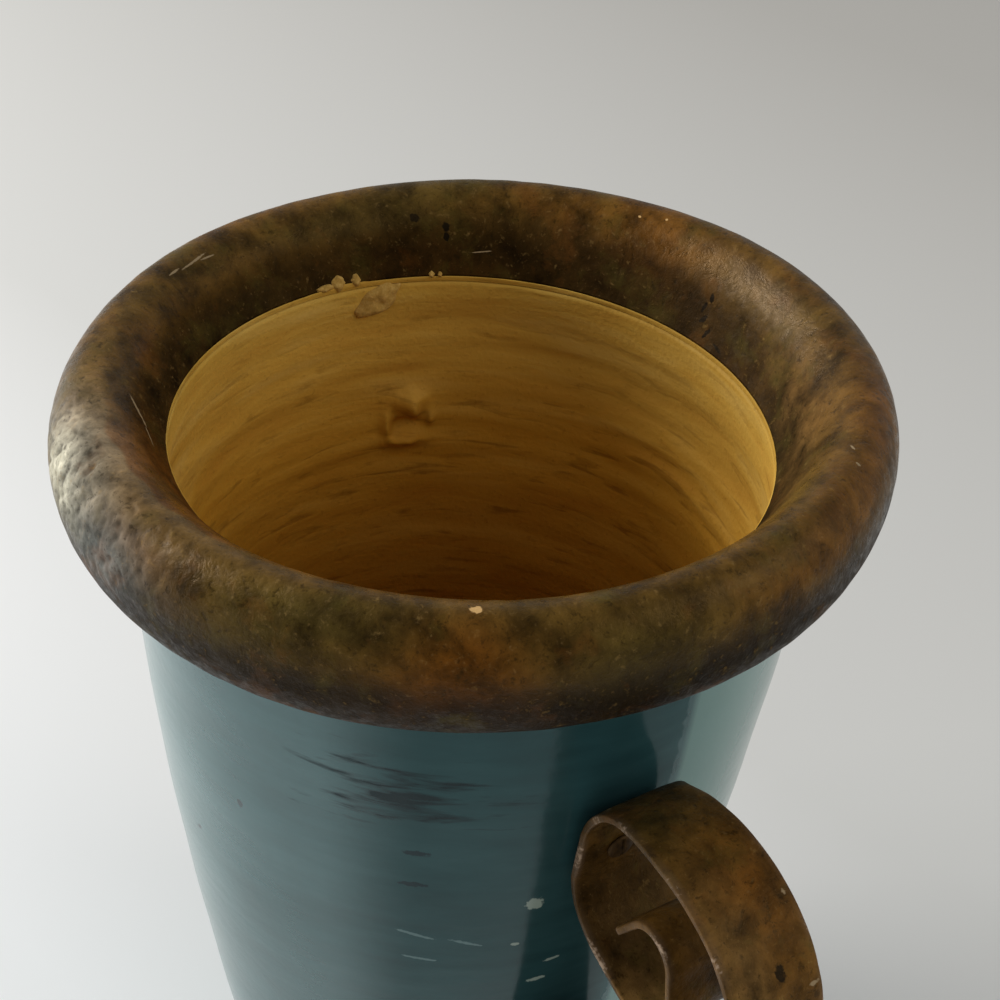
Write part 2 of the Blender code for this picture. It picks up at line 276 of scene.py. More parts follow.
def add_piece(name, points, materials, ring, replaces=(), zones=None, attributes=None):
    """A closed smooth mesh on a grid whose columns run round, riding on the body.

    The rows close on each other in a ring, or else the first and last row each close on a pole at
    their mean. The faces are turned outwards by the sign of the enclosed volume.
    """
    rows, columns = points.shape[:2]
    index = np.arange(rows * columns).reshape(rows, columns)
    below = np.roll(index, -1, axis=0) if ring else index[1:]
    above = index if ring else index[:-1]
    quads = np.stack((above, np.roll(above, -1, 1), np.roll(below, -1, 1), below), -1).reshape(-1, 4)
    vertices = points.reshape(-1, 3)
    first, second, third, fourth = (vertices[quads[:, corner]] for corner in range(4))
    volume = np.sum(first * np.cross(second, third)) + np.sum(first * np.cross(third, fourth))
    faces = quads.tolist()
    if not ring:
        first_pole, last_pole = len(vertices), len(vertices) + 1
        vertices = np.vstack((vertices, points[0].mean(0), points[-1].mean(0)))
        top, bottom = index[0], index[-1]
        faces += np.stack((np.full(columns, first_pole), np.roll(top, -1), top), -1).tolist()
        faces += np.stack((np.full(columns, last_pole), bottom, np.roll(bottom, -1)), -1).tolist()
    if volume < 0:
        faces = [face[::-1] for face in faces]
    mesh = bpy.data.meshes.new(name)
    mesh.from_pydata(vertices, [], faces)
    for material in materials:
        mesh.materials.append(material)
    if zones is not None:
        mesh.polygons.foreach_set("material_index", np.repeat(zones, columns).astype(np.int32))
    for key, values in (attributes or {}).items():
        flat = values.reshape(rows * columns, -1)
        if not ring:
            flat = np.vstack((flat, flat[:columns].mean(0), flat[-columns:].mean(0)))
        kind, field = ("FLOAT_COLOR", "color") if flat.shape[1] == 4 else ("FLOAT", "value")
        mesh.attributes.new(key, kind, "POINT").data.foreach_set(field, flat.astype(np.float32).ravel())
    mesh.shade_smooth()
    mesh.update()
    item = bpy.data.objects.new(name, mesh)
    bpy.context.scene.collection.objects.link(item)
    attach(item, BODY)
    if replaces:
        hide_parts(*replaces)
    return item


# Materials

def node(tree, kind, sockets=None, out=0, stops=None, **settings):
    """Add a node and give one of its outputs.

    Settings are its properties, stops are a ramp's places and colours, and sockets are filled with
    values or with other nodes' outputs.
    """
    item = tree.nodes.new("ShaderNode" + kind)
    for key, value in settings.items():
        setattr(item, key, value)
    for number, (place, code) in enumerate(stops or ()):
        ramp = item.color_ramp.elements
        element = ramp[0] if number == 0 else ramp[1] if number == 1 else ramp.new(place)
        element.position = place
        element.color = (*linear(code), 1.0)
    for key, value in (sockets or {}).items():
        if isinstance(value, bpy.types.NodeSocket):
            tree.links.new(value, item.inputs[key])
        else:
            item.inputs[key].default_value = value
    return item.outputs[out] if item.outputs else item


def start_material(name):
    """A material with an empty tree, and the output that gives the piece's own coordinates."""
    material = bpy.data.materials.new(name)
    material.use_nodes = True
    material.node_tree.nodes.clear()
    return material, material.node_tree, node(material.node_tree, "TexCoord", out="Object")


def finish_material(tree, base, roughness, height, bump, **fixed):
    """Close a tree with a Principled BSDF whose normal comes from a height map."""
    normal = node(tree, "Bump", {"Strength": bump, "Distance": 0.001, "Height": height})
    sockets = {"Base Color": base, "Roughness": roughness, "Normal": normal}
    sockets.update({key.replace("_", " "): value for key, value in fixed.items()})
    shader = node(tree, "BsdfPrincipled", sockets)
    node(tree, "OutputMaterial", {"Surface": shader})


def coats(tree, base, *layers):
    """Lay coats over a colour, in order.

    A coat is how strongly it covers, its colour, and how it blends where it doesn't just cover.
    """
    for cover, coat, *blend in layers:
        paint = (*linear(coat), 1.0) if isinstance(coat, str) else coat
        base = node(tree, "Mix", {0: cover, 6: base, 7: paint}, out=2, data_type="RGBA",
                    blend_type=blend[0] if blend else "MIX")
    return base


def break_up(tree, base, coverings):
    """Break a colour up where noise passes a threshold.

    A covering is the noise, where it starts and where it is full, how strong it is then, and its colour.
    """
    for noise, start, full, strength, code in coverings:
        cover = node(tree, "MapRange", {"Value": noise, "From Min": start, "From Max": full,
                                        "To Max": strength})
        base = coats(tree, base, (cover, code))
    return base


def reach_from(tree, place, centre, angles, halves):
    """Distance from the middle of a turned ellipsoid, 1 at its surface."""
    local = node(tree, "Mapping", {"Vector": place, "Location": centre, "Rotation": angles, "Scale": halves},
                 vector_type="TEXTURE")
    return node(tree, "VectorMath", {0: local}, out="Value", operation="LENGTH")


def add_spots(tree, place, base, spots, ragged=0.7):
    """Lay small marks on a colour.

    A mark is an ellipsoid with ragged edges, given by its centre, turn, half sizes and colour.
    """
    grain = node(tree, "TexNoise", {"Vector": place, "Scale": per_mm(1.3), "Detail": 4.0})
    for centre, angles, halves, code in spots:
        reach = reach_from(tree, place, centre, angles, halves)
        edge = node(tree, "Math", {0: grain, 1: 2 * ragged, 2: reach}, operation="MULTIPLY_ADD")
        mask = node(tree, "MapRange", {"Value": edge, "From Min": 1.05 + ragged, "From Max": 0.8 + ragged})
        base = coats(tree, base, (mask, code))
    return base


# The dull stripe of glaze behind each handle, a painted dark reflection of the handle: its middle's
# azimuth and its half width.
STRIPE_CENTRE = math.radians(-7.2)
STRIPE_HALF = math.radians(11.8)


def glaze_material(pot, spots):
    """Teal glaze brushed over thrown clay.

    It pools and thins in level streaks left by the turning wheel, with a hard gloss skin that mirrors
    the floor. Torn strokes under the collar are dull and dark. The stripe behind each handle is dull and
    a little darker, a painted dark reflection of the handle, and the glaze beside it towards the front is
    duller and darker, a painted dark reflection too. Beyond the stripe a pale band paints the reflection of
    the bright floor, the side that faces the key light is paler with painted light, and a few chips show
    the pale body.
    """
    material, tree, place = start_material("teal_glaze_brushed")
    level = node(tree, "Mapping", {"Vector": place, "Scale": (1.0, 1.0, 5.0)})
    streak = node(tree, "TexNoise", {"Vector": level, "Scale": per_mm(30), "Detail": 4.0, "Roughness": 0.55})
    cloud = node(tree, "TexNoise", {"Vector": place, "Scale": per_mm(40), "Detail": 3.0})
    thick = node(tree, "Math", {0: streak, 1: cloud}, operation="ADD")
    depth = node(tree, "MapRange", {"Value": thick, "From Min": 0.7, "From Max": 1.3})
    base = node(tree, "ValToRGB", {"Fac": depth},
                stops=((0.0, "#1f4042"), (0.5, "#274d4f"), (1.0, "#32585a")))
    base = coats(tree, base, (0.35, (*pot.glaze, 1.0)))
    reach = reach_from(tree, place, wall_point(-42.0, 0.2085), (0, 0, math.radians(-41)),
                       (0.02, 0.021, 0.0095))
    short = node(tree, "Mapping", {"Vector": place, "Scale": (1.0, 1.0, 7.0)})
    torn = node(tree, "TexNoise", {"Vector": short, "Scale": per_mm(22), "Detail": 4.0, "Roughness": 0.55,
                                   "Distortion": 0.3})
    torn = node(tree, "Math", {0: reach, 1: -0.17, 2: torn}, operation="MULTIPLY_ADD")
    bare = node(tree, "MapRange", {"Value": torn, "From Min": 0.31, "From Max": 0.47, "To Max": 0.95})
    base = coats(tree, base, (bare, "#031b20"))
    ridge = node(tree, "TexNoise", {"Vector": place, "Scale": per_mm(3.5), "Detail": 3.0})
    turned_in = node(tree, "VectorRotate", {"Vector": place, "Angle": -STRIPE_CENTRE}, rotation_type="Z_AXIS")
    sideways = node(tree, "SeparateXYZ", {0: turned_in}, out="Y")
    outwards = node(tree, "SeparateXYZ", {0: turned_in}, out="X")
    tangent = node(tree, "Math", {0: sideways, 1: outwards}, operation="DIVIDE")
    spread = node(tree, "Math", {0: tangent}, operation="ABSOLUTE")
    edge = node(tree, "Math", {0: ridge, 1: 0.05, 2: spread}, operation="MULTIPLY_ADD")
    limit = math.tan(STRIPE_HALF) + 0.025
    stripe = node(tree, "MapRange", {"Value": edge, "From Min": limit + 0.004, "From Max": limit - 0.004})
    # Painted dark reflection of the handle: the stripe is dull and a little darker.
    handle_reflection_shade = node(tree, "HueSaturation", {"Color": base, "Saturation": 0.92, "Value": 0.97})
    base = coats(tree, base, (stripe, handle_reflection_shade))
    # Painted reflection of the bright floor: a pale band beyond the stripe.
    thin = node(tree, "MapRange", {"Value": tangent, "From Min": limit - 0.012, "From Max": limit + 0.02,
                                   "To Max": 0.75})
    near_by = node(tree, "MapRange", {"Value": outwards, "From Min": 0.015, "From Max": 0.085})
    thin = node(tree, "Math", {0: thin, 1: near_by}, operation="MULTIPLY")
    base = coats(tree, base, (thin, "#6d9088"))
    # Painted light: the side that faces the key light is paler.
    side = reach_from(tree, place, wall_point(-110.0, 0.17), (0, 0, math.radians(-110)), (0.05, 0.065, 0.16))
    key_side_light = node(tree, "MapRange", {"Value": side, "From Min": 1.1, "From Max": 0.2, "To Max": 0.32},
                interpolation_type="SMOOTHSTEP")
    base = coats(tree, base, (key_side_light, "#8fa9a6"))
    # Painted dark reflection: the glaze between the front and the stripe is darker and duller.
    front_dark_reflection = node(tree, "MapRange", {"Value": tangent, "From Min": -1.15, "From Max": -0.58},
                  interpolation_type="SMOOTHSTEP")
    front_dark_reflection_end = node(tree, "MapRange", {"Value": tangent, "From Min": limit, "From Max": 0.0})
    front_dark_reflection = node(tree, "Math", {0: front_dark_reflection, 1: front_dark_reflection_end}, operation="MULTIPLY")
    darkened = node(tree, "HueSaturation", {"Color": base, "Saturation": 0.98, "Value": 0.74})
    base = coats(tree, base, (front_dark_reflection, darkened))
    base = add_spots(tree, place, base, spots)
    fine = node(tree, "TexNoise", {"Vector": short, "Scale": per_mm(7), "Detail": 3.0})
    roughness = node(tree, "MapRange", {"Value": fine, "To Min": 0.10, "To Max": 0.22})
    dull = node(tree, "Math", {0: bare, 1: stripe}, operation="MAXIMUM")
    dull = node(tree, "Math", {0: dull, 1: front_dark_reflection}, operation="MAXIMUM")
    shine = node(tree, "MapRange", {"Value": dull, "To Min": 0.46, "To Max": 0.10})
    height = node(tree, "Math", {0: streak, 1: ridge}, operation="ADD")
    finish_material(tree, base, roughness, height, 0.05, IOR=1.75, Specular_IOR_Level=shine,
                    Specular_Tint=(*linear("#ecffff"), 1.0))
    return material


def slip_material(pot):
    """Ochre slip brushed round the inside of the pot: dried out, ringed by the fingers, scuffed level.

    It is darker down the wall, with painted shade that deepens towards the floor, and has painted shade
    under the rim on one side.
    """
    material, tree, place = start_material("ochre_slip_brushed")
    level = node(tree, "Mapping", {"Vector": place, "Scale": (1.0, 1.0, 6.0)})
    ring = node(tree, "TexNoise", {"Vector": level, "Scale": per_mm(45), "Detail": 3.0, "Roughness": 0.5,
                                   "Distortion": 0.4})
    grit = node(tree, "TexNoise", {"Vector": place, "Scale": per_mm(1.6), "Detail": 2.0})
    scuff = node(tree, "TexNoise", {"Vector": level, "Scale": per_mm(18), "Detail": 4.0, "Distortion": 0.6})
    base = node(tree, "ValToRGB", {"Fac": ring},
                stops=((0.28, "#b98b36"), (0.50, "#cda74c"), (0.72, "#dabb6c")))
    base = coats(tree, base, (0.4, (*pot.slip, 1.0)))
    base = break_up(tree, base, ((grit, 0.62, 0.75, 0.25, "#7a5014"),))
    rise = node(tree, "SeparateXYZ", {0: place}, out="Z")
    deep = node(tree, "MapRange", {"Value": rise, "From Min": 0.240, "From Max": 0.205, "To Min": 0.5})
    drag = node(tree, "MapRange", {"Value": scuff, "From Min": 0.56, "From Max": 0.70, "To Max": 0.50})
    drag = node(tree, "Math", {0: drag, 1: deep}, operation="MULTIPLY")
    base = coats(tree, base, (drag, "#6e480e"))
    # Painted shade: the slip is darker down the wall towards the floor.
    up_the_wall = node(tree, "MapRange", {"Value": rise, "From Min": 0.13, "From Max": 0.26})
    depth_shade = node(tree, "ValToRGB", {"Fac": up_the_wall}, stops=((0.0, "#b89660"), (0.55, "#e0c892"), (0.9, "#fcf3e2"),
                                                       (1.0, "#e8dec4")))
    base = coats(tree, base, (1.0, depth_shade, "MULTIPLY"))
    # Painted shade under the rim on the far right side.
    reach = reach_from(tree, place, wall_point(93.0, 0.246, True), (0, 0, math.radians(93)),
                       (0.05, 0.075, 0.032))
    stain_and_shade = node(tree, "MapRange", {"Value": reach, "From Min": 1.3, "From Max": 0.2, "To Max": 0.42},
                 interpolation_type="SMOOTHSTEP")
    base = coats(tree, base, (stain_and_shade, "#7a5a1c"))
    height = node(tree, "Math", {0: ring, 1: 2.0, 2: grit}, operation="MULTIPLY_ADD")
    height = node(tree, "Math", {0: scuff, 1: -1.0, 2: height}, operation="MULTIPLY_ADD")
    finish_material(tree, base, 0.65, height, 0.25, IOR=1.45, Specular_IOR_Level=0.15)
    return material


def clay_material():
    """Bare fired clay on the foot: dry, pale and gritty."""
    material, tree, place = start_material("bare_clay_fired")
    grit = node(tree, "TexNoise", {"Vector": place, "Scale": per_mm(1.2), "Detail": 4.0})
    base = node(tree, "ValToRGB", {"Fac": grit}, stops=((0.3, "#8a6a4c"), (0.7, "#b3926c")))
    finish_material(tree, base, 0.85, grit, 0.3)
    return material


def filler_material():
    """Ochre filler squeezed out of the seam: matt, crumbly, a little paler than the slip."""
    material, tree, place = start_material("ochre_filler_crumbly")
    crumb = node(tree, "TexNoise", {"Vector": place, "Scale": per_mm(1.4), "Detail": 5.0, "Roughness": 0.7})
    base = node(tree, "ValToRGB", {"Fac": crumb},
                stops=((0.3, "#9c7632"), (0.5, "#b08a44"), (0.72, "#c29c58")))
    finish_material(tree, base, 0.8, crumb, 0.35, Specular_IOR_Level=0.15)
    return material


def patina_material(name, spots):
    """Rust patina over a dark ground, under a thin wiped-on varnish.

    Browns break up into olive, rust and near-black at the size of thumb prints, then of grains. The
    broad colour comes from the piece's own tone attribute, which also holds painted shade and painted
    light, and edges scuffed bare, with the collar's painted highlight, from its attribute of wear and
    highlight.
    """
    material, tree, place = start_material(name)
    broad = node(tree, "Attribute", out="Color", attribute_name="tone")
    warp = node(tree, "TexNoise", {"Vector": place, "Scale": per_mm(9), "Detail": 2.0}, out="Color")
    bent = node(tree, "VectorMath", {0: warp, 1: (0.004, 0.004, 0.004), 2: place}, operation="MULTIPLY_ADD")
    blotch = node(tree, "TexNoise", {"Vector": bent, "Scale": per_mm(11), "Detail": 6.0, "Roughness": 0.62})
    grain = node(tree, "TexNoise", {"Vector": bent, "Scale": per_mm(3.0), "Detail": 5.0, "Roughness": 0.7})
    hue = node(tree, "TexNoise", {"Vector": bent, "Scale": per_mm(20), "Detail": 5.0, "Roughness": 0.65})
    dark = node(tree, "ValToRGB", {"Fac": blotch},
                stops=((0.32, "#727272"), (0.5, "#c6c6c6"), (0.67, "#ffffff")))
    base = coats(tree, broad, (1.0, dark, "MULTIPLY"))
    base = break_up(tree, base, ((hue, 0.54, 0.68, 0.45, "#4c431a"), (hue, 0.44, 0.30, 0.3, "#74451a"),
                                 (grain, 0.42, 0.33, 0.65, "#1c1406"), (grain, 0.60, 0.75, 0.3, "#a8864e")))
    across = node(tree, "VectorMath", {0: place, 1: (1.0, 1.0, 0.0)}, operation="MULTIPLY")
    facing = node(tree, "VectorMath", {0: across}, operation="NORMALIZE")
    # On directions the scale counts streaks to a radius: 60 makes them about 2 mm wide at the rim.
    wiped = node(tree, "TexNoise", {"Vector": facing, "Scale": 60.0, "Detail": 5.0, "Roughness": 0.65})
    wipe = node(tree, "MapRange", {"Value": wiped, "From Min": 0.54, "From Max": 0.68, "To Max": 0.22})
    base = coats(tree, base, (wipe, node(tree, "HueSaturation", {"Color": base, "Value": 0.45})))
    wear_and_highlight = node(tree, "Attribute", out="Fac", attribute_name="wear_and_highlight")
    flake = node(tree, "TexNoise", {"Vector": bent, "Scale": per_mm(1.3), "Detail": 3.0, "Roughness": 0.65})
    base = break_up(tree, base, ((flake, 0.41, 0.31, 0.45, "#160f06"), (flake, 0.62, 0.72, 0.2, "#8a6c42")))
    # Pale coats from the attribute of wear and highlight: scuffed edges on the bars, and on the collar's
    # shoulder pale flecks that also paint its highlight.
    film_and_sheen = node(tree, "Math", {0: wear_and_highlight, 1: 0.45}, operation="MULTIPLY")
    base = coats(tree, base, (film_and_sheen, "#6e5a48"))
    rub_and_glint = node(tree, "Math", {0: wear_and_highlight, 1: flake}, operation="MULTIPLY")
    rub_and_glint = node(tree, "MapRange", {"Value": rub_and_glint, "From Min": 0.36, "From Max": 0.50, "To Max": 0.85})
    base = coats(tree, base, (rub_and_glint, "#a38c76"))
    base = add_spots(tree, place, base, spots)
    gloss = node(tree, "MapRange", {"Value": grain, "From Min": 0.36, "From Max": 0.66, "To Min": 0.18,
                                    "To Max": 0.50})
    dull = node(tree, "Attribute", out="Fac", attribute_name="dull")
    roughness = node(tree, "Math", {0: dull, 1: 0.35, 2: gloss}, operation="MULTIPLY_ADD")
    shine = node(tree, "MapRange", {"Value": dull, "To Min": 0.20, "To Max": 0.04})
    height = node(tree, "Math", {0: blotch, 1: grain}, operation="ADD")
    height = node(tree, "Math", {0: flake, 1: 0.6, 2: height}, operation="MULTIPLY_ADD")
    finish_material(tree, base, roughness, height, 0.28, IOR=1.5, Specular_IOR_Level=shine,
                    Specular_Tint=(*linear("#ffca80"), 1.0))
    return material


def steel_material():
    """Browned steel screw: dull metal with rust in its scratches."""
    material, tree, place = start_material("browned_steel")
    grain = node(tree, "TexNoise", {"Vector": place, "Scale": per_mm(1.5), "Detail": 4.0})
    base = node(tree, "ValToRGB", {"Fac": grain}, stops=((0.35, "#33230f"), (0.65, "#4c3618")))
    roughness = node(tree, "MapRange", {"Value": grain, "To Min": 0.5, "To Max": 0.75})
    finish_material(tree, base, roughness, grain, 0.2, Metallic=0.8)
    return material


def plug_material():
    """Moulded nylon plug: plain grey, faintly mottled."""
    material, tree, place = start_material("grey_nylon_moulded")
    mottle = node(tree, "TexNoise", {"Vector": place, "Scale": per_mm(2.5), "Detail": 2.0})
    base = node(tree, "ValToRGB", {"Fac": mottle}, stops=((0.3, "#767672"), (0.7, "#8c8c87")))
    finish_material(tree, base, 0.5, mottle, 0.1, IOR=1.53)
    return material


# The pot

def outer_radius(pot, height):
    """Outer radius: a cone and a parabola from the collar's skirt down to the foot."""
    depth = np.clip((RIM_LOW.z - height) / RIM_LOW.z, 0.0, None)
    taper = pot.straight_share * depth + (1 - pot.straight_share) * depth ** 2
    return pot.neck_radius - (pot.neck_radius - pot.foot_radius) * taper


def inner_radius(pot, height):
    """Inner radius: the outer one less the wall, easing in to the throat at the lip."""
    ease = smooth(height, pot.lip_height - pot.neck_blend, pot.lip_height)
    return (outer_radius(pot, height) - pot.wall) * (1 - ease) + (pot.neck_radius - pot.lip_width) * ease


def wall_point(degrees, height, inside=False):
    """A point on the outer or inner wall at an azimuth and a height."""
    pot = bpy.context.scene.planter_pot
    radius = float((inner_radius if inside else outer_radius)(pot, height))
    angle = math.radians(degrees)
    return radius * math.cos(angle), radius * math.sin(angle), height


# The lump of clay on the inner wall: where its middle is, and how far it reaches.
LUMP_AZIMUTH = math.radians(160.8)
LUMP_HEIGHT = 0.2055
LUMP_REACH = 0.0175

# Its swellings and hollows: middle sideways and up, half sizes and height, in millimetres.
LUMP_PARTS = (
    (0.6, 4.1, 8.4, 5.4, 2.0), (0.4, 5.8, 3.8, 3.4, 4.4), (1.2, 2.8, 1.8, 3.8, 2.0),
    (-1.4, -7.6, 6.8, 2.6, 4.0), (-7.6, -2.4, 1.8, 4.4, 2.4), (7.2, -0.6, 1.4, 2.8, 1.7),
    (-1.0, -1.8, 3.8, 1.8, -2.8),
)


def lump_relief(a, b):
    """A knob over a hollow with a lip under it: a sum of bell shapes, in metres."""
    body = 0.0
    for middle_a, middle_b, half_a, half_b, rise in LUMP_PARTS:
        body = body + rise / 1000 * bell(a * 1000, middle_a, half_a) * bell(b * 1000, middle_b, half_b)
    return body + 0.0003 * crumple(71, a, b, 0.0045) * smooth(body, 0.0002, 0.0020)


def pot_profile(pot):
    """Closed outline of the pot as radius and height, and the zone of each row.

    Down the outside (0), round the foot (1), then up the inside from the drain hole (2).
    """
    edge = 0.0018
    fillet = pot.wall
    down = np.linspace(pot.lip_height - edge, edge, 110)
    outside = np.column_stack((outer_radius(pot, down), down))
    bend = np.linspace(0.0, np.pi / 2, 6)[1:]
    foot = np.column_stack((pot.foot_radius - edge + edge * np.cos(bend), edge - edge * np.sin(bend)))
    ring = pot.foot_radius - pot.foot_ring
    recess = (ring - pot.foot_recess, pot.foot_recess)
    under = np.vstack((line(foot[-1], (ring, 0.0), 5)[1:], line((ring, 0.0), recess, 3),
                       line(recess, (pot.drain_radius + edge, pot.foot_recess), 8),
                       line((pot.drain_radius + edge, pot.foot_recess),
                            (pot.drain_radius, pot.foot_recess + edge), 2)))
    drain_top = pot.floor_top - edge
    floor_edge = inner_radius(pot, pot.floor_top) - fillet
    floor = np.vstack((line((pot.drain_radius, pot.foot_recess + edge), (pot.drain_radius, drain_top), 4),
                       line((pot.drain_radius, drain_top), (pot.drain_radius + edge, pot.floor_top), 2),
                       line((pot.drain_radius + edge, pot.floor_top), (floor_edge, pot.floor_top), 10)))
    swing = np.linspace(0.0, np.pi / 2, 9)[:-1]
    wall_foot = inner_radius(pot, pot.floor_top + fillet)
    corner = np.column_stack((floor_edge + (wall_foot - floor_edge) * np.sin(swing),
                              pot.floor_top + fillet * (1 - np.cos(swing))))
    lump_low, lump_high = LUMP_HEIGHT - LUMP_REACH, LUMP_HEIGHT + LUMP_REACH
    up = np.concatenate((np.linspace(pot.floor_top + fillet, lump_low, 72, endpoint=False),
                         np.linspace(lump_low, lump_high, 60, endpoint=False),
                         np.linspace(lump_high, pot.lip_height, 20)))
    inside = np.column_stack((inner_radius(pot, up), up))
    lip = line(inside[-1], (pot.neck_radius - edge, pot.lip_height), 4)[1:]
    parts = (outside, np.vstack((foot, under)), np.vstack((floor, corner, inside, lip)))
    zones = np.repeat((0, 1, 2), [len(part) for part in parts])
    return np.vstack(parts), zones


def make_pot(pot, materials):
    """The pot: its outline turned about Z and pushed along its normal by throwing marks.

    Outside the marks are shallow rings and a slow waver. Inside they are finger rings that climb,
    with short level drags, and a lump of clay. The grid is finer round the lump.
    """
    profile, zones = pot_profile(pot)
    normal = side_of(profile, closed=True)
    along = distance_along(profile)[:, None]
    half = LUMP_REACH / inner_radius(pot, LUMP_HEIGHT)
    angle = LUMP_AZIMUTH + np.concatenate((np.linspace(-half, half, 100, endpoint=False),
                                           np.linspace(half, 2 * np.pi - half, 214, endpoint=False)))[None, :]
    outside = 0.000025 * waves(11, angle, along, 2, 0.004) + 0.00016 * waves(12, angle, along, 4, 0.040)
    outside = np.minimum(outside - 0.0002, 0.0001)
    inside = 0.00022 * waves(13, angle, along, 1, 0.008) + 0.0005 * waves(14, angle, along, 3, 0.030)
    inside = inside + 0.00014 * waves(15, angle, along, 9, 0.006)
    height = profile[:, 1][:, None]
    push = np.where(zones[:, None] == 0, outside, np.where(zones[:, None] == 2, inside, 0.0))
    push = push * smooth(height, 0.001, 0.008)
    push = push * (1 - smooth(height, pot.lip_height - 0.014, pot.lip_height - 0.005))
    sideways = inner_radius(pot, LUMP_HEIGHT) * np.sin(LUMP_AZIMUTH - angle)
    lump = lump_relief(sideways, height - LUMP_HEIGHT) * (np.cos(LUMP_AZIMUTH - angle) > 0)
    push = push + np.where(zones[:, None] == 2, lump, 0.0)
    radius = profile[:, :1] - normal[:, :1] * push
    level = height - normal[:, 1:] * push
    points = turned(radius, level, angle)
    add_piece("pot", points, materials, True, ("pot_body",), zones=zones)


def dab(origin, along, across, normal, half_length, half_width, relief, seed, ragged, point=1.0, pot=None):
    """A pressed-on dab of filler, closed: rings from the middle out, then back underneath.

    The outline is an ellipse with a ragged edge, which a point above 1 draws out towards a diamond.
    The upper side stands up by a relief that is a function of the two distances from the middle, and
    fades out at the edge. On the inner wall of a pot it also follows the wall: it stands in by the radius
    at its middle less the wall's distance from the axis plane at each point.
    """
    sink = 0.0006
    angle = np.linspace(0.0, 2 * np.pi, 72, endpoint=False)[None, :]
    out = np.concatenate((np.linspace(0.04, 1.0, 30), np.linspace(0.95, 0.1, 6)))[:, None]
    upper = (np.arange(36) < 30)[:, None]
    outline = 1 + ragged * waves(seed, angle, np.zeros_like(angle), 9, 1.0)
    cosine, sine = np.cos(angle), np.sin(angle)
    a = out * outline * half_length * np.sign(cosine) * np.abs(cosine) ** point
    b = out * outline * half_width * np.sign(sine) * np.abs(sine) ** point
    lift = np.where(upper, relief(a, b) * np.sqrt(np.clip(1 - out ** 4, 0, 1)) - sink * out ** 4, -2.5 * sink)
    axes = [np.asarray(axis, float) for axis in (along, across, normal)]
    if pot:
        level = np.cross((0.0, 0.0, 1.0), axes[2])
        sideways = a * (axes[0] @ level) + b * (axes[1] @ level)
        height = origin[2] + a * axes[0][2] + b * axes[1][2]
        lift = lift + inner_radius(pot, origin[2]) - np.sqrt(inner_radius(pot, height) ** 2 - sideways ** 2)
    points = a[..., None] * axes[0] + b[..., None] * axes[1] + lift[..., None] * axes[2]
    return np.asarray(origin, float) + points


def wall_frame(degrees, height, tilt=0.0):
    """Origin, tangent at a tilt in degrees, the other tangent and inward normal on the inner wall."""
    angle, lift = math.radians(degrees), math.radians(tilt)
    inward = Vector((-math.cos(angle), -math.sin(angle), 0.0))
    level = Vector((math.sin(angle), -math.cos(angle), 0.0))
    up = Vector((0.0, 0.0, 1.0))
    along = level * math.cos(lift) + up * math.sin(lift)
    return wall_point(degrees, height, True), along, up * math.cos(lift) - level * math.sin(lift), inward


def flap_relief(a, b):
    """A thin torn sheet, thicker at its lower edge."""
    return 0.0014 + 0.0012 * smooth(-b, -0.002, 0.004) + 0.0004 * crumple(72, a, b, 0.0034)


def burr_relief(a, b):
    """A small crumb with a blunt, uneven top."""
    return 0.0008 + 0.0004 * crumple(73, a, b, 0.0030)


def make_dabs(pot, filler):
    """Filler squeezed out at the seam: a torn flap and small burrs."""
    points = dab(*wall_frame(168.9, 0.2505, 38.0), 0.0088, 0.0046, flap_relief, 22, 0.10, 1.2, pot)
    add_piece("filler_flap", points, [filler], False)
    burrs = ((177.6, 1.6, 0.0026, 0.0026), (173.6, 1.5, 0.0017, 0.0022), (180.6, 1.0, 0.0036, 0.0012),
             (157.2, 0.9, 0.0010, 0.0012), (155.4, 0.8, 0.0008, 0.0010))
    for number, (degrees, across, half_length, half_width) in enumerate(burrs, start=1):
        points = dab(*collar_frame(degrees, across), half_length, half_width, burr_relief, 50 + number,
                     0.10, 1.3)
        add_piece("filler_burr_%d" % number, points, [filler], False)


# The collar

def collar_profile(collar):
    """Closed outline of the collar as radius and height, and its place across in millimetres.

    Up the inner slope from the seam, over the crest, down half an ellipse, then back inside along
    the skirt and the seat.
    """
    half_width = collar.roll / 2
    half_height = (RIM_HIGH.z - RIM_LOW.z) / 2
    middle = collar.radius - half_width
    throat = np.array((POT_HIGH.x - bpy.context.scene.planter_pot.lip_width, RIM_HIGH.z - collar.seam_depth))
    crest = np.array((middle, RIM_HIGH.z))
    reach = crest - throat
    heading = np.array((math.cos(collar.throat_rise), math.sin(collar.throat_rise)))
    pull_start = throat + collar.throat_pull * np.linalg.norm(reach) * heading
    pull_end = (crest[0] - collar.crest_pull * reach[0], crest[1])
    slope = cubic(throat, pull_start, pull_end, crest, 46)
    slope = np.vstack((throat + collar.edge_back * heading, slope[2:]))
    bend = np.linspace(0.0, np.pi, 76)[1:]
    roll = np.column_stack((middle + half_width * np.sin(bend),
                            RIM_HIGH.z - half_height + half_height * np.cos(bend)))
    skirt = (collar.skirt_radius, RIM_LOW.z + 0.002)
    seat = (collar.skirt_radius, slope[0][1])
    back = np.vstack((line(roll[-1], skirt, 4)[1:], line(skirt, seat, 5), line(seat, slope[0], 6)))
    profile = np.vstack((slope, roll, back))
    return profile, (distance_along(profile) + collar.edge_back) * 1000, len(slope), len(roll)


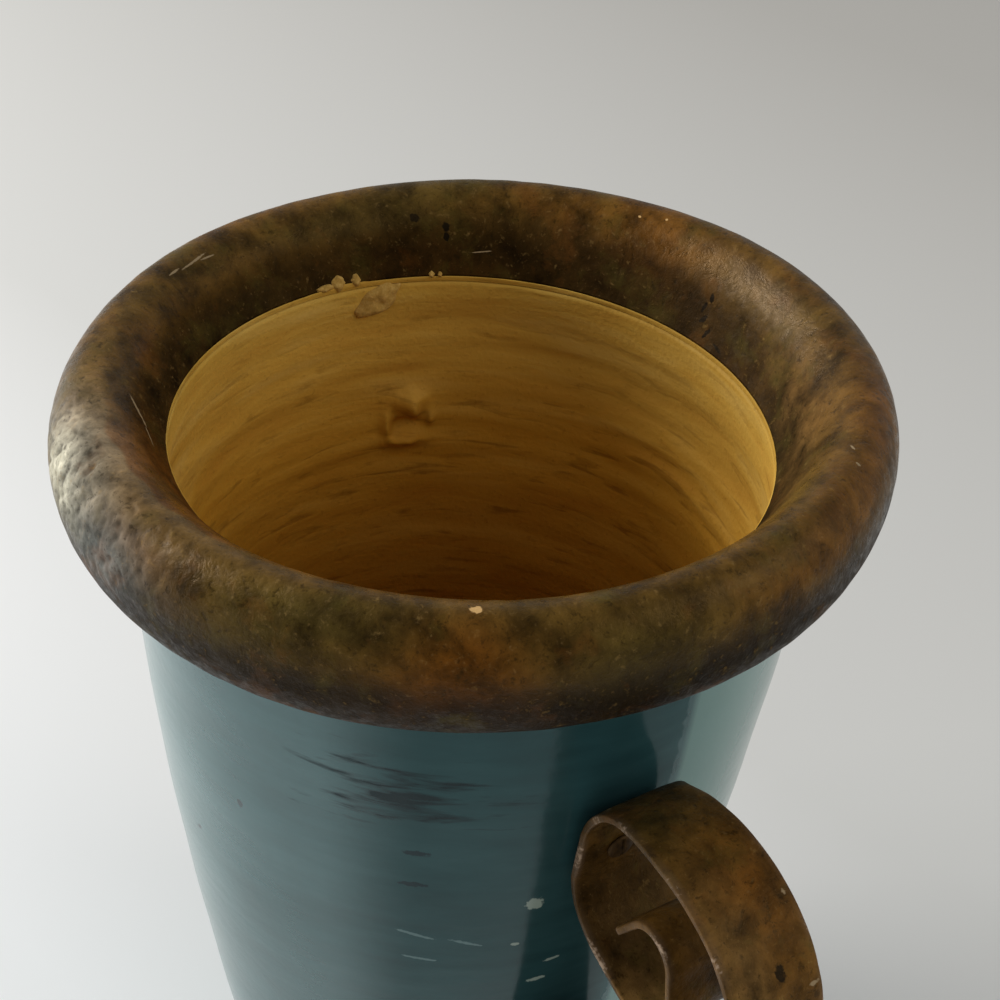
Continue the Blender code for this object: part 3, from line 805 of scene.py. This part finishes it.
def collar_surface(collar, angle, across):
    """Radius and height of the leaning collar at an azimuth and a place across in millimetres."""
    profile, place, slope_rows, _ = collar_profile(collar)
    radius = np.interp(across, place, profile[:, 0])
    height = np.interp(across, place, profile[:, 1])
    lean = math.tan(collar.lean) * radius * np.cos(angle - collar.lean_towards)
    return radius, height + lean * smooth(across, 0.0, place[slope_rows - 1])


def collar_point(degrees, across):
    """A point on the collar's surface at an azimuth and a place across in millimetres."""
    angle = math.radians(degrees)
    radius, height = collar_surface(bpy.context.scene.planter_collar, angle, across)
    return float(radius * math.cos(angle)), float(radius * math.sin(angle)), float(height)


def collar_frame(degrees, across):
    """Origin, level tangent, up the slope and outward normal at a place on the collar."""
    origin = Vector(collar_point(degrees, across))
    up = (Vector(collar_point(degrees, across + 0.5)) - origin).normalized()
    angle = math.radians(degrees)
    level = Vector((math.sin(angle), -math.cos(angle), 0.0))
    return origin, level, up, level.cross(up)


# Finishes of a rust patina: dark oxide, which also serves for painted shade, orange rust, green olive,
# rubbed sand, and the chalk and slate blooms that lime in water leaves.
FINISHES = {"oxide_and_shade": "#2a1c0a", "rust": "#80480f", "olive": "#45411e", "sand": "#a07a46", "chalk": "#efe9d0",
            "slate": "#88918f"}

# Weather on the collar: finish, azimuth and half width in degrees, place across from the seam and half
# width in millimetres, strength. A chalk bloom on one side, a run of rust in front with olive on both
# sides of it, painted shade in the far throat, and rubbed slopes.
COLLAR_WEATHER_AND_SHADE = (
    ("sand", -96.0, 28.0, 30.0, 5.0, 0.70),
    ("chalk", -101.0, 11.0, 46.0, 14.0, 0.92),
    ("slate", -85.0, 9.0, 50.0, 10.0, 0.75),
    ("olive", -60.0, 15.0, 45.0, 12.0, 0.65),
    ("rust", -33.0, 7.0, 46.0, 12.0, 0.80),
    ("olive", -12.0, 12.0, 46.0, 12.0, 0.60),
    # Painted shade in the far throat.
    ("oxide_and_shade", 125.0, 45.0, 11.0, 10.0, 0.65),
    ("rust", 113.0, 10.0, 23.0, 9.0, 0.40),
    ("rust", 50.0, 14.0, 36.0, 8.0, 0.45),
    ("sand", 60.0, 25.0, 14.0, 9.0, 0.30),
)

# The pitted, chalky side and the stain above the seam: azimuth and half width in degrees.
CHALK_SIDE = (-94.0, 20.0)
STAIN_SIDE = (-86.0, 24.0)

# Where the finish is rubbed through to pale flecks, which also paint the shoulder's highlight: azimuth and
# half width in degrees, place across and half width.
RUB_HIGHLIGHT_TURN = (93.0, 15.0)
RUB_HIGHLIGHT_PLACE = (24.5, 3.2)

# The collar's grid has fine columns on the pitted side: start and end in degrees, and columns.
FINE_COLUMNS = (-132.0, -52.0, 320)
PLAIN_COLUMNS = (-52.0, 228.0, 400)


def lay(tone, finish, strength):
    """Linear RGB moved towards a finish by a strength from 0 to 1."""
    return tone + (np.asarray(linear(FINISHES[finish])) - tone) * strength[..., None]


def opaque(tone):
    """RGBA of RGB."""
    return np.concatenate((tone, np.ones(tone.shape[:2] + (1,))), axis=-1)


def make_collar(collar, material):
    """The collar: its outline turned about Z, dented by hand and leaned.

    The lean is a height in proportion to the distance along one direction, none at the throat and
    full from the crest outwards, so the seam stays level.
    """
    profile, across, slope_rows, roll_rows = collar_profile(collar)
    normal = side_of(profile, closed=True)
    fine, plain = (np.linspace(*columns, endpoint=False) for columns in (FINE_COLUMNS, PLAIN_COLUMNS))
    degrees = np.concatenate((fine, plain))[None, :]
    angle = np.radians(degrees)
    place = across[:, None]
    crest = across[slope_rows - 1]
    end = across[slope_rows + roll_rows - 1]
    shown = smooth(place, 0.0, 6.0) * (1 - smooth(place, end - 4.0, end))
    dents = collar.hand_marks * (waves(41, angle, place, 7, 30.0) - 0.6)
    dents = dents + 0.2 * collar.hand_marks * waves(42, angle, place, 70, 7.0, 40)
    chalk = bell(degrees, *CHALK_SIDE, 4) * smooth(place, 29.0, 36.0) * (1 - smooth(place, 50.0, 60.0))
    round_mm = angle * collar.radius * 1000
    pebbles = 0.6 * crumple(43, round_mm, place, 5.0, 60) + 0.4 * crumple(44, round_mm, place, 2.4, 80)
    dents = dents + collar.pits * chalk * np.minimum(pebbles, 0.3)
    push = np.clip(dents, -0.0012, 0.0004) * shown
    radius = profile[:, :1] - normal[:, :1] * push
    height = profile[:, 1:] - normal[:, 1:] * push
    weight = smooth(place, 0.0, crest) * (1 - smooth(place, end, across[-1] - 8.0))
    height = height + math.tan(collar.lean) * radius * np.cos(angle - collar.lean_towards) * weight
    mottle = waves(46, angle, place, 8, 22.0)
    tone = np.broadcast_to(np.asarray(tuple(collar.patina)), radius.shape + (3,))
    tone = lay(tone, "olive", 0.45 * smooth(mottle, 0.1, 0.9))
    tone = lay(tone, "rust", 0.28 * smooth(-mottle, 0.1, 0.9))
    # Painted shade under the roll and down the throat's slope.
    tone = lay(tone, "oxide_and_shade", 0.92 * smooth(place, 42.0, 57.0))
    tone = lay(tone, "oxide_and_shade", 0.8 * (1 - smooth(place, 8.0, 24.0)))
    for finish, azimuth, half_turn, middle, half_width, strength in COLLAR_WEATHER_AND_SHADE:
        cover = bell(turned_from(angle, azimuth), 0.0, half_turn) * bell(place, middle, half_width)
        tone = lay(tone, finish, strength * cover)
    stain_edge = 26.5 + 1.2 * waves(45, angle, np.zeros_like(angle), 40, 1.0, 30)
    stain_and_shade = bell(degrees, *STAIN_SIDE, 4) * (1 - smooth(place, stain_edge - 0.9, stain_edge + 0.7))
    tone = lay(tone, "rust", 0.6 * stain_and_shade)
    # More painted shade under the roll.
    tone = tone * (1 - 0.6 * smooth(place, 48.0, 60.0))[..., None]
    # Painted shade in the pits of the chalky side.
    tone = tone * (1 - 0.6 * (chalk * np.clip(-1.2 * pebbles - 0.1, 0.0, 1.0)))[..., None]
    # Pale rubbed flecks on the right shoulder, which also paint its highlight.
    wear_and_highlight = 0.52 * bell(degrees, *RUB_HIGHLIGHT_TURN) * bell(place, *RUB_HIGHLIGHT_PLACE)
    dull = np.maximum(chalk, 0.8 * (1 - smooth(place, 13.0, 21.0)) + 0.5 * smooth(place, 51.0, 60.0))
    points = turned(radius, height, angle)
    add_piece("collar", points, [material], True, ("rim_collar",),
              attributes={"tone": opaque(tone), "wear_and_highlight": wear_and_highlight, "dull": dull})


# Where the filler laps further up the collar: azimuth, half width in degrees, extra in millimetres.
FILLER_LAPS = ((-104.0, 20.0, 0.6), (36.0, 14.0, 0.5), (177.0, 6.0, 0.8))

# How far the filler runs down the inner wall, in millimetres.
FILLER_DROP = 1.4


def make_filler(pot, collar, material):
    """The filler: a thin bead turned about Z that rounds over the seam, with a torn upper edge.

    Its face follows the inner wall up to the seam and then the collar's slope, both blurred over half a
    millimetre. It stands off by a height that eases in up the wall and out at the torn edge, so its two
    edges are pressed into the wall and the slope. Its back lies inside the seam.
    """
    angle = np.linspace(0.0, 2 * np.pi, 720, endpoint=False)[None, :]
    flat = np.zeros_like(angle)
    lap = 0.30 + 0.08 * waves(51, angle, flat, 40, 1.0, 40) + 0.08 * waves(52, angle, flat, 160, 1.0, 60)
    for degrees, half_width, extra in FILLER_LAPS:
        lap = lap + extra * bell(turned_from(angle, degrees), 0.0, half_width)
    up = np.linspace(0.0, 1.0, 16)[:, None] * (lap + FILLER_DROP) - FILLER_DROP
    seam_height = RIM_HIGH.z - collar.seam_depth
    radius, height = 0.0, 0.0
    for shift, weight in ((-0.5, 0.25), (0.0, 0.5), (0.5, 0.25)):
        place = np.minimum(up + shift, lap)
        slope_radius, slope_height = collar_surface(collar, angle, np.maximum(place, 0.0))
        wall_height = seam_height + np.minimum(place, 0.0) / 1000
        radius = radius + weight * np.where(place < 0, inner_radius(pot, wall_height), slope_radius)
        height = height + weight * np.where(place < 0, wall_height, slope_height)
    stand_off = 0.00014 * smooth(up, -FILLER_DROP, -0.2) * (1 - smooth(up, lap - 0.4, lap)) - 0.00006
    lean_back = (math.pi / 2 - collar.throat_rise) * smooth(up, -0.5, 0.5)
    radius = radius - stand_off * np.cos(lean_back)
    height = height + stand_off * np.sin(lean_back)
    under = 0.0006
    corner = pot.neck_radius - pot.lip_width
    back = ((radius[-1] + under, height[-1] - under), (corner + 0.004, seam_height),
            (BED_HIGH.x, seam_height), (BED_HIGH.x, pot.lip_height), (corner + 0.003, pot.lip_height),
            (radius[0] + under, height[0]))
    radius = np.vstack([radius] + [row[0] + flat for row in back])
    height = np.vstack([height] + [row[1] + flat for row in back])
    points = turned(radius, height, angle)
    add_piece("filler_ring", points, [material], True, ("rim_bedding",))


# The handles

def bend_along(start, heading, bends, step):
    """Points of a run of arcs and straights that leaves start along heading."""
    points = [np.asarray(start, float)[None, :]]
    for radius, degrees, run in bends:
        here = points[-1][-1]
        end = math.radians(degrees)
        angle = np.linspace(heading, end, max(3, int(abs(end - heading) * radius / step)))[1:]
        side = math.copysign(radius, end - heading)
        points.append(np.column_stack((here[0] + side * (np.sin(angle) - math.sin(heading)),
                                       here[1] - side * (np.cos(angle) - math.cos(heading)))))
        heading = end
        if run:
            here = points[-1][-1]
            there = here + run * np.array((math.cos(end), math.sin(end)))
            points.append(line(here, there, max(2, int(run / step)))[1:])
    return np.vstack(points), heading


def flat_on_wall(pot, bar, low, span):
    """Lower end and heading of a straight stretch of bar on the outer wall's tangent."""
    middle = low + span / 2
    step = 0.0005
    slope = float(outer_radius(pot, middle + step) - outer_radius(pot, middle - step)) / (2 * step)
    normal = np.array((1.0, -slope)) / math.hypot(1.0, slope)
    centre = np.array((float(outer_radius(pot, middle)), middle)) + normal * (bar.gap + bar.thickness / 2)
    rise = math.atan2(normal[0], -normal[1])
    along = np.array((math.cos(rise), math.sin(rise)))
    return centre - along * span / 2, rise, along


def bar_path(pot, bar, step=0.001):
    """Middle line of the bar as radius and height, evenly stepped, from the scroll's tip to the tail.

    With it come the distance of each point from the tip, and the distances where the arch starts and
    ends.
    """
    pad, up, along = flat_on_wall(pot, bar, bar.pad_low, bar.pad_length)
    scroll, _ = bend_along(pad, up - math.pi, SCROLL_BENDS, step)
    arch, fall = bend_along(pad + along * bar.pad_length, up, ARCH_BENDS, step)
    tail_end, _, tail_along = flat_on_wall(pot, bar, bar.tail_low, bar.tail_length)
    tail = tail_end + tail_along * bar.tail_length
    sweep = cubic(arch[-1], arch[-1] + bar.sweep_pull * np.array((math.cos(fall), math.sin(fall))),
                  tail + bar.sweep_pull * tail_along, tail, 160)
    rough = np.vstack((scroll[::-1], arch, sweep[1:], tail_end[None, :]))
    reach = distance_along(rough)
    even = np.linspace(0.0, reach[-1], int(reach[-1] / step))
    path = np.column_stack((np.interp(even, reach, rough[:, 0]), np.interp(even, reach, rough[:, 1])))
    return path, even, reach[len(scroll)], reach[len(scroll) + len(arch) - 1]


def bar_section(bar):
    """Outline of the bar as width and thickness: a rectangle with rounded corners."""
    half_width, half_thick = bar.width / 2, bar.thickness / 2
    bend = np.linspace(0.0, np.pi / 2, 6)
    corner = bar.corner * np.column_stack((np.cos(bend), np.sin(bend)))
    spread = np.linspace(-1.0, 1.0, 20)[1:-1, None] * (half_width - bar.corner, 0.0)
    upper = np.array((half_width - bar.corner, half_thick - bar.corner)) + corner
    lower = upper * (-1, 1)
    half = np.vstack((upper, spread[::-1] + (0.0, half_thick), lower[::-1]))
    return np.vstack((half, -half))


# Weather on a bar: finish, distance from the scroll's tip and half length, place across the width and half
# width, in millimetres, strength. Painted shade over the scroll's loop, olive on top of the arch, rust and a
# rubbed near edge on its outer side.
BAR_WEATHER_AND_SHADE = (
    # Painted shade over the scroll's loop.
    ("oxide_and_shade", 88.0, 48.0, 0.0, 40.0, 0.75),
    ("olive", 148.0, 16.0, -5.0, 12.0, 0.55),
    ("rust", 180.0, 20.0, 3.0, 9.0, 0.45),
    ("sand", 200.0, 22.0, -8.0, 6.0, 0.50),
)

# The hollow side of the scroll is lightened with sand, painted light against its shade: middle and half
# length in millimetres from the tip.
HOLLOW_PAINTED_LIGHT = (48.0, 30.0)


def make_bar(label, spin, pot, bar, material):
    """One handle: the bar's section carried along its path, hammered, with nicked edges that show wear.

    The arch is hammered a little wider, the scroll's far side is spread into a fishtail, and the edges
    are drawn thin.
    """
    path, reach, arch_start, arch_end = bar_path(pot, bar)
    section = bar_section(bar)
    normal = -side_of(path)
    along = reach[:, None] * 1000
    across = section[:, 0][None, :]
    around = np.linspace(0.0, 2 * np.pi, len(section), endpoint=False)[None, :]
    near_edge = smooth(np.abs(across), bar.width / 2 - 0.0022, bar.width / 2 - 0.0002)
    dents = 0.00012 * waves(61 + len(label), around, along, 3, 9.0) - 0.0001
    nicks = 1 - 0.008 * np.clip(waves(62 + len(label), around * 0, along, 0, 12.0, 30), 0, 2)
    ends = np.minimum(smooth(along, -0.4, 1.0), smooth(along[::-1], -0.4, 1.0))
    thick = section[:, 1][None, :] * (1 + dents / (bar.thickness / 2)) * ends
    thick = thick * (1 - bar.edge_draw * smooth(np.abs(across), bar.width / 2 - 0.005, bar.width / 2))
    wide = across * nicks * (0.9 + 0.1 * ends)
    passed = (reach[:, None] - arch_start) / (arch_end - arch_start)
    near = bar.near_flare * smooth(passed, 0.12, 0.50)
    far = bar.far_flare * smooth(passed, -0.05, 0.10) * (1 - smooth(passed, 0.13, 0.24))
    far = far - bar.far_trim * smooth(passed, 0.14, 0.24)
    far = far + bar.fishtail * (1 - smooth(passed, -0.45, -0.06))
    wide = wide + np.where(across < 0, -near, far) * np.abs(across) / (bar.width / 2)
    radius = path[:, :1] + normal[:, :1] * thick
    height = path[:, 1:] + normal[:, 1:] * thick
    side = bar.offset + wide
    points = np.stack((radius * math.cos(spin) - side * math.sin(spin),
                       radius * math.sin(spin) + side * math.cos(spin), height), axis=-1)
    tone = np.broadcast_to(np.asarray(tuple(bar.rust)), points.shape)
    for finish, distance, half_length, middle, half_width, strength in BAR_WEATHER_AND_SHADE:
        cover = bell(along, distance, half_length) * bell(across * 1000, middle, half_width)
        tone = lay(tone, finish, strength * cover)
    # Painted light: the hollow side of the scroll is lightened with sand.
    hollow = section[:, 1][None, :] < 0
    tone = lay(tone, "sand", 0.8 * hollow * bell(along, *HOLLOW_PAINTED_LIGHT))
    wear_and_highlight = np.clip(near_edge * (0.50 + 0.45 * waves(63, around * 0, along, 0, 12.0, 30)), 0, 1)
    wear_and_highlight = np.maximum(wear_and_highlight, 1 - smooth(along, 0.5, 2.5))
    add_piece("bar_" + label, points, [material], False, ("handle_" + label,),
              attributes={"tone": opaque(tone), "wear_and_highlight": wear_and_highlight, "dull": 0.3 * np.ones_like(wear_and_highlight)})


def make_screw(label, spin, height, pot, bar, material):
    """One slotted screw: a dome turned about its own axis, a slot pressed across it, and a shank.

    The dome's height falls as a quarter of an ellipse. Inside the slot it drops to the slot's floor.
    """
    seat = 2 * bar.gap + bar.thickness
    angle = np.linspace(0.0, 2 * np.pi, 96, endpoint=False)[None, :]
    dome = np.linspace(0.01, 1.0, 40)[:, None]
    radius = bar.head_radius * dome * np.ones_like(angle)
    top = seat + bar.head_height * np.sqrt(1 - 0.999 * dome ** 2)
    floor = seat + bar.head_height - bar.slot_depth
    in_slot = np.abs(radius * np.sin(angle)) < bar.slot_width / 2
    level = np.where(in_slot, np.minimum(top, floor), top)
    shank = np.array(((bar.head_radius, seat), (bar.shank_radius, seat), (bar.shank_radius, -bar.shank_depth),
                      (bar.shank_radius / 2, -bar.shank_depth)))
    radius = np.vstack((radius, shank[:, :1] * np.ones_like(angle)))
    level = np.vstack((level, shank[:, 1:] * np.ones_like(angle)))
    _, rise, _ = flat_on_wall(pot, bar, height, 0.0)
    out = Vector((math.sin(rise), 0.0, -math.cos(rise)))
    spun = Matrix.Rotation(spin, 3, "Z")
    axes = np.array([spun @ Vector((out.z, 0.0, -out.x)), spun @ Vector((0.0, 1.0, 0.0)), spun @ out])
    origin = spun @ Vector((float(outer_radius(pot, height)), bar.offset, height))
    local = np.stack((radius * np.cos(angle), radius * np.sin(angle), level), axis=-1)
    points = local @ axes + np.array(origin)
    add_piece("screw_" + label, points, [material], False, ("handle_screw_" + label,))


# The stage

BACKDROP = "#c9cac6"

# Half the floor's side, and where the floor starts to fade into the backdrop and has faded, in metres.
FLOOR_HALF = 30.0
FLOOR_FADE = (1.7, 3.4)


def make_floor(stage):
    """A pale matt floor with painted light, brighter to the front left, that fades into the backdrop far from
    the pot.
    """
    half = FLOOR_HALF
    mesh = bpy.data.meshes.new("floor")
    mesh.from_pydata([(-half, -half, 0.0), (half, -half, 0.0), (half, half, 0.0), (-half, half, 0.0)], [],
                     [(0, 1, 2, 3)])
    material, tree, place = start_material("pale_floor")
    facing = node(tree, "VectorRotate", {"Vector": place, "Angle": math.pi / 2 - stage.azimuth - math.pi},
                  rotation_type="Z_AXIS")
    right = node(tree, "SeparateXYZ", {0: facing}, out="X")
    away = node(tree, "SeparateXYZ", {0: facing}, out="Y")
    # Painted light: the floor is brighter to the front left and darker away from it.
    slope = node(tree, "Math", {0: away, 1: 1.1, 2: right}, operation="MULTIPLY_ADD")
    fall = node(tree, "MapRange", {"Value": slope, "From Min": -0.12, "From Max": 1.24})
    base = node(tree, "ValToRGB", {"Fac": fall},
                stops=((0.0, "#f8f8f7"), (0.3, "#d4d3cf"), (1.0, "#bbb8b2")))
    base = coats(tree, base, (1.0, (*stage.floor, 1.0), "MULTIPLY"))
    cloud = node(tree, "TexNoise", {"Vector": place, "Scale": per_mm(600), "Detail": 1.0})
    rough = node(tree, "MapRange", {"Value": cloud, "To Min": 0.85, "To Max": 0.95})
    matt = node(tree, "BsdfPrincipled", {"Base Color": base, "Roughness": rough, "Specular IOR Level": 0.1})
    distance = node(tree, "VectorMath", {0: place}, out="Value", operation="LENGTH")
    far = node(tree, "MapRange", {"Value": distance, "From Min": FLOOR_FADE[0], "From Max": FLOOR_FADE[1]},
               interpolation_type="SMOOTHSTEP")
    far = node(tree, "Math", {0: far, 1: node(tree, "LightPath", out="Is Camera Ray")}, operation="MULTIPLY")
    glow = node(tree, "Emission", {"Color": (*linear(BACKDROP), 1.0)})
    node(tree, "OutputMaterial", {"Surface": node(tree, "MixShader", {0: far, 1: matt, 2: glow})})
    mesh.materials.append(material)
    item = bpy.data.objects.new("floor", mesh)
    bpy.context.scene.collection.objects.link(item)


def direction(azimuth, elevation):
    """Unit vector from the pot towards an azimuth and an elevation."""
    return Vector((math.cos(elevation) * math.cos(azimuth), math.cos(elevation) * math.sin(azimuth),
                   math.sin(elevation)))


def make_lights(stage):
    """A wide low key light from the left, a weaker one from the right, and an even sky."""
    aim = Vector((0.0, 0.0, 0.15))
    for name, azimuth, elevation, size, power in (
            ("key", stage.key_azimuth, stage.key_elevation, stage.key_size, stage.key_power),
            ("fill", stage.fill_azimuth, stage.fill_elevation, stage.fill_size, stage.fill_power)):
        away = direction(azimuth, elevation)
        lamp = bpy.data.lights.new(name, "AREA")
        lamp.shape = "DISK"
        lamp.size = size
        lamp.energy = power
        item = bpy.data.objects.new(name, lamp)
        item.location = aim + away * stage.light_distance
        item.rotation_euler = away.to_track_quat("Z", "Y").to_euler()
        bpy.context.scene.collection.objects.link(item)
    world = bpy.data.worlds.new("studio")
    world.use_nodes = True
    tree = world.node_tree
    tree.nodes.clear()
    sky = node(tree, "Background", {"Color": (*linear("#f2f4f5"), 1.0), "Strength": stage.sky})
    seen = node(tree, "Background", {"Color": (*linear(BACKDROP), 1.0), "Strength": 1.0})
    camera_ray = node(tree, "LightPath", out="Is Camera Ray")
    shown = node(tree, "MixShader", {0: camera_ray, 1: sky, 2: seen})
    node(tree, "OutputWorld", {"Surface": shown})
    bpy.context.scene.world = world


def make_camera(stage):
    """The camera, on a sphere round the rim's middle, then turned by yaw, pitch and roll."""
    out = direction(stage.azimuth, stage.elevation)
    right = Vector((-math.sin(stage.azimuth), math.cos(stage.azimuth), 0.0))
    basis = Matrix((right, out.cross(right), out)).transposed()
    yaw, pitch, roll = (Matrix.Rotation(angle, 3, axis) for angle, axis in (
        (stage.yaw, "Y"), (stage.pitch, "X"), (-stage.roll, "Z")))
    lens = bpy.data.cameras.new("camera")
    lens.lens = stage.lens
    lens.sensor_width = 36.0
    lens.clip_start = 0.01
    item = bpy.data.objects.new("camera", lens)
    place = Vector((0.0, 0.0, stage.target_height)) + out * stage.distance
    item.matrix_world = Matrix.Translation(place) @ (basis @ yaw @ pitch @ roll).to_4x4()
    bpy.context.scene.collection.objects.link(item)
    bpy.context.scene.camera = item


class PLANTER_OT_stage(bpy.types.Operator):
    """Make the camera, the lights and the floor."""

    bl_idname = "planter.stage"
    bl_label = "Stage"

    def execute(self, context):
        stage = context.scene.planter_stage
        context.scene.view_settings.view_transform = "Standard"
        make_camera(stage)
        make_lights(stage)
        make_floor(stage)
        return {"FINISHED"}


class PLANTER_OT_pot(bpy.types.Operator):
    """Make the glazed pot and the filler squeezed out at its seam."""

    bl_idname = "planter.pot"
    bl_label = "Pot"

    def execute(self, context):
        pot = context.scene.planter_pot
        slip = slip_material(pot)
        make_pot(pot, [glaze_material(pot, wall_spots()), clay_material(), slip])
        make_dabs(pot, filler_material())
        make_filler(pot, context.scene.planter_collar, slip)
        return {"FINISHED"}


class PLANTER_OT_collar(bpy.types.Operator):
    """Make the rim collar."""

    bl_idname = "planter.collar"
    bl_label = "Rim collar"

    def execute(self, context):
        make_collar(context.scene.planter_collar, patina_material("rust_patina_varnished", collar_spots()))
        return {"FINISHED"}


class PLANTER_OT_handles(bpy.types.Operator):
    """Make the bars and their screws, and finish the plugs."""

    bl_idname = "planter.handles"
    bl_label = "Handles"

    def execute(self, context):
        pot, bar = context.scene.planter_pot, context.scene.planter_bar
        rust = patina_material("rusted_iron_bar", bar_spots(pot, bar))
        steel = steel_material()
        nylon = plug_material()
        levels = (("upper", bar.pad_low + bar.pad_length / 2), ("lower", bar.tail_low + bar.tail_length / 2))
        for label, spin in SIDES:
            make_bar(label, spin, pot, bar, rust)
            for level, height in levels:
                make_screw(label + "_" + level, spin, height, pot, bar, steel)
                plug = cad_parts["wall_plug_%s_%s" % (label, level)]
                plug.data.materials.clear()
                plug.data.materials.append(nylon)
        return {"FINISHED"}


# Colours of single marks. On the glaze: a chip to the body, a scrape and a bare streak. On the patina: a
# chip, a scratch and a pit.
CHIP, SCRAPE, BARE = "#88958a", "#587070", "#10252a"
FLAKE, SCRATCH, PIT = "#c09a64", "#8c785a", "#100c07"

# How deep a mark's ellipsoid reaches under the surface, so that dents don't hide it.
MARK_DEPTH = 0.004


def wall_spots():
    """Chips and scrapes on the glaze: azimuth, height, half width, half height, tilt and colour."""
    marks = (
        (-17.5, 0.1635, 0.0026, 0.0026, 0.0, CHIP),
        (-38.0, 0.1500, 0.0060, 0.0006, -0.25, SCRAPE),
        (-29.0, 0.1475, 0.0050, 0.0006, -0.3, SCRAPE),
        (-37.0, 0.1390, 0.0050, 0.0005, -0.1, SCRAPE),
        (-12.0, 0.1350, 0.0022, 0.0007, 0.2, CHIP),
        (-14.6, 0.1260, 0.0032, 0.0009, 0.15, CHIP),
        (-20.0, 0.1455, 0.0012, 0.0007, 0.0, CHIP),
        (-71.6, 0.1806, 0.0010, 0.0014, 0.0, BARE),
        (-87.0, 0.1502, 0.0016, 0.0008, 0.5, BARE),
        (-38.5, 0.1860, 0.0040, 0.0011, 0.0, BARE),
        (-39.0, 0.1728, 0.0042, 0.0010, 0.0, BARE),
    )
    return [(wall_point(degrees, height), (tilt, 0.0, math.radians(degrees)),
             (MARK_DEPTH, half_width, half_height), code)
            for degrees, height, half_width, half_height, tilt, code in marks]


def bar_spots(pot, bar):
    """Chips on the right bar: distance from the tip, place across, half sizes and colour."""
    path, reach, _, _ = bar_path(pot, bar)
    marks = (
        (169.0, -7.0, 0.0006, 0.0026, SCRATCH),
        (181.0, 9.5, 0.0007, 0.0009, SCRATCH),
        (205.0, 9.0, 0.0007, 0.0016, SCRATCH),
        (136.0, -9.0, 0.0009, 0.0009, SCRATCH),
        (173.0, -12.4, 0.0009, 0.0008, SCRATCH),
        (199.0, 0.0, 0.0022, 0.0016, PIT),
    )
    spots = []
    for distance, place, half_along, half_across, code in marks:
        radius, height = (float(np.interp(distance / 1000, reach, path[:, axis])) for axis in (0, 1))
        side = bar.offset + place / 1000
        halves = (half_along + MARK_DEPTH / 2, half_across, half_along)
        spots.append(((radius, side, height), (0.0, 0.0, 0.0), halves, code))
    return spots


def collar_spots():
    """Chips, pits and scratches on the collar: azimuth, place across, half sizes, tilt and colour."""
    marks = (
        (-32.1, 31.6, 1.6, 1.4, 0.0, FLAKE),
        (-155.5, 26.6, 5.5, 0.4, 4.0, SCRATCH),
        (-150.5, 27.4, 2.2, 0.4, 0.0, SCRATCH),
        (-158.0, 25.4, 2.6, 0.3, -6.0, SCRATCH),
        (154.0, 15.5, 1.4, 1.8, 20.0, PIT),
        (160.0, 19.0, 1.8, 1.4, -15.0, PIT),
        (-206.0, 12.5, 1.0, 1.4, 0.0, PIT),
        (97.2, 13.2, 1.6, 0.8, 115.0, PIT),
        (97.9, 10.4, 1.8, 0.7, 80.0, PIT),
        (96.9, 7.4, 1.8, 0.9, 60.0, PIT),
        (94.8, 4.4, 2.0, 0.7, 70.0, PIT),
        (90.4, 2.6, 2.4, 0.5, 165.0, PIT),
        (118.2, 26.4, 0.5, 0.4, 0.0, FLAKE),
        (113.4, 28.0, 0.4, 0.4, 0.0, FLAKE),
        (147.0, 8.0, 3.2, 0.2, 8.0, SCRATCH),
        (-113.5, 14.6, 5.8, 0.45, 35.0, SCRATCH),
        (-108.3, 9.8, 3.6, 0.3, 23.0, SCRATCH),
        (36.5, 30.5, 1.2, 0.4, 40.0, SCRATCH),
        (33.0, 34.0, 0.9, 0.4, 70.0, SCRATCH),
    )
    spots = []
    for degrees, across, half_along, half_across, tilt, code in marks:
        origin, level, up, normal = collar_frame(degrees, across)
        lift = math.radians(tilt)
        axes = Matrix((level * math.cos(lift) + up * math.sin(lift),
                       up * math.cos(lift) - level * math.sin(lift), normal))
        halves = (half_along / 1000, half_across / 1000, MARK_DEPTH / 2)
        spots.append((tuple(origin), tuple(axes.transposed().to_euler()), halves, code))
    return spots


class PLANTER_PT_panel(bpy.types.Panel):
    """Lists the planter's operators and settings."""

    bl_idname = "PLANTER_PT_panel"
    bl_label = "Planter"
    bl_space_type = "VIEW_3D"
    bl_region_type = "UI"
    bl_category = "Planter"

    def draw(self, context):
        for operator in OPERATORS:
            self.layout.operator(operator.bl_idname)
        for key in SETTINGS:
            box = self.layout.box()
            group = getattr(context.scene, key)
            for name in group.bl_rna.properties.keys():
                if name not in ("rna_type", "name"):
                    box.prop(group, name)


SETTINGS = {"planter_pot": PotSettings, "planter_collar": CollarSettings, "planter_bar": BarSettings,
            "planter_stage": StageSettings}
OPERATORS = (PLANTER_OT_stage, PLANTER_OT_pot, PLANTER_OT_collar, PLANTER_OT_handles)


def register():
    """Register the classes and hang the settings on the scene."""
    for group in (*SETTINGS.values(), *OPERATORS, PLANTER_PT_panel):
        bpy.utils.register_class(group)
    for key, group in SETTINGS.items():
        setattr(bpy.types.Scene, key, bpy.props.PointerProperty(type=group))


def unregister():
    """Take the settings off the scene and unregister the classes."""
    for key in SETTINGS:
        delattr(bpy.types.Scene, key)
    for group in reversed((*SETTINGS.values(), *OPERATORS, PLANTER_PT_panel)):
        bpy.utils.unregister_class(group)


def main():
    """Build the stage and every piece."""
    register()
    bpy.ops.planter.stage()
    bpy.ops.planter.pot()
    bpy.ops.planter.collar()
    bpy.ops.planter.handles()


if __name__ == "__main__":
    main()
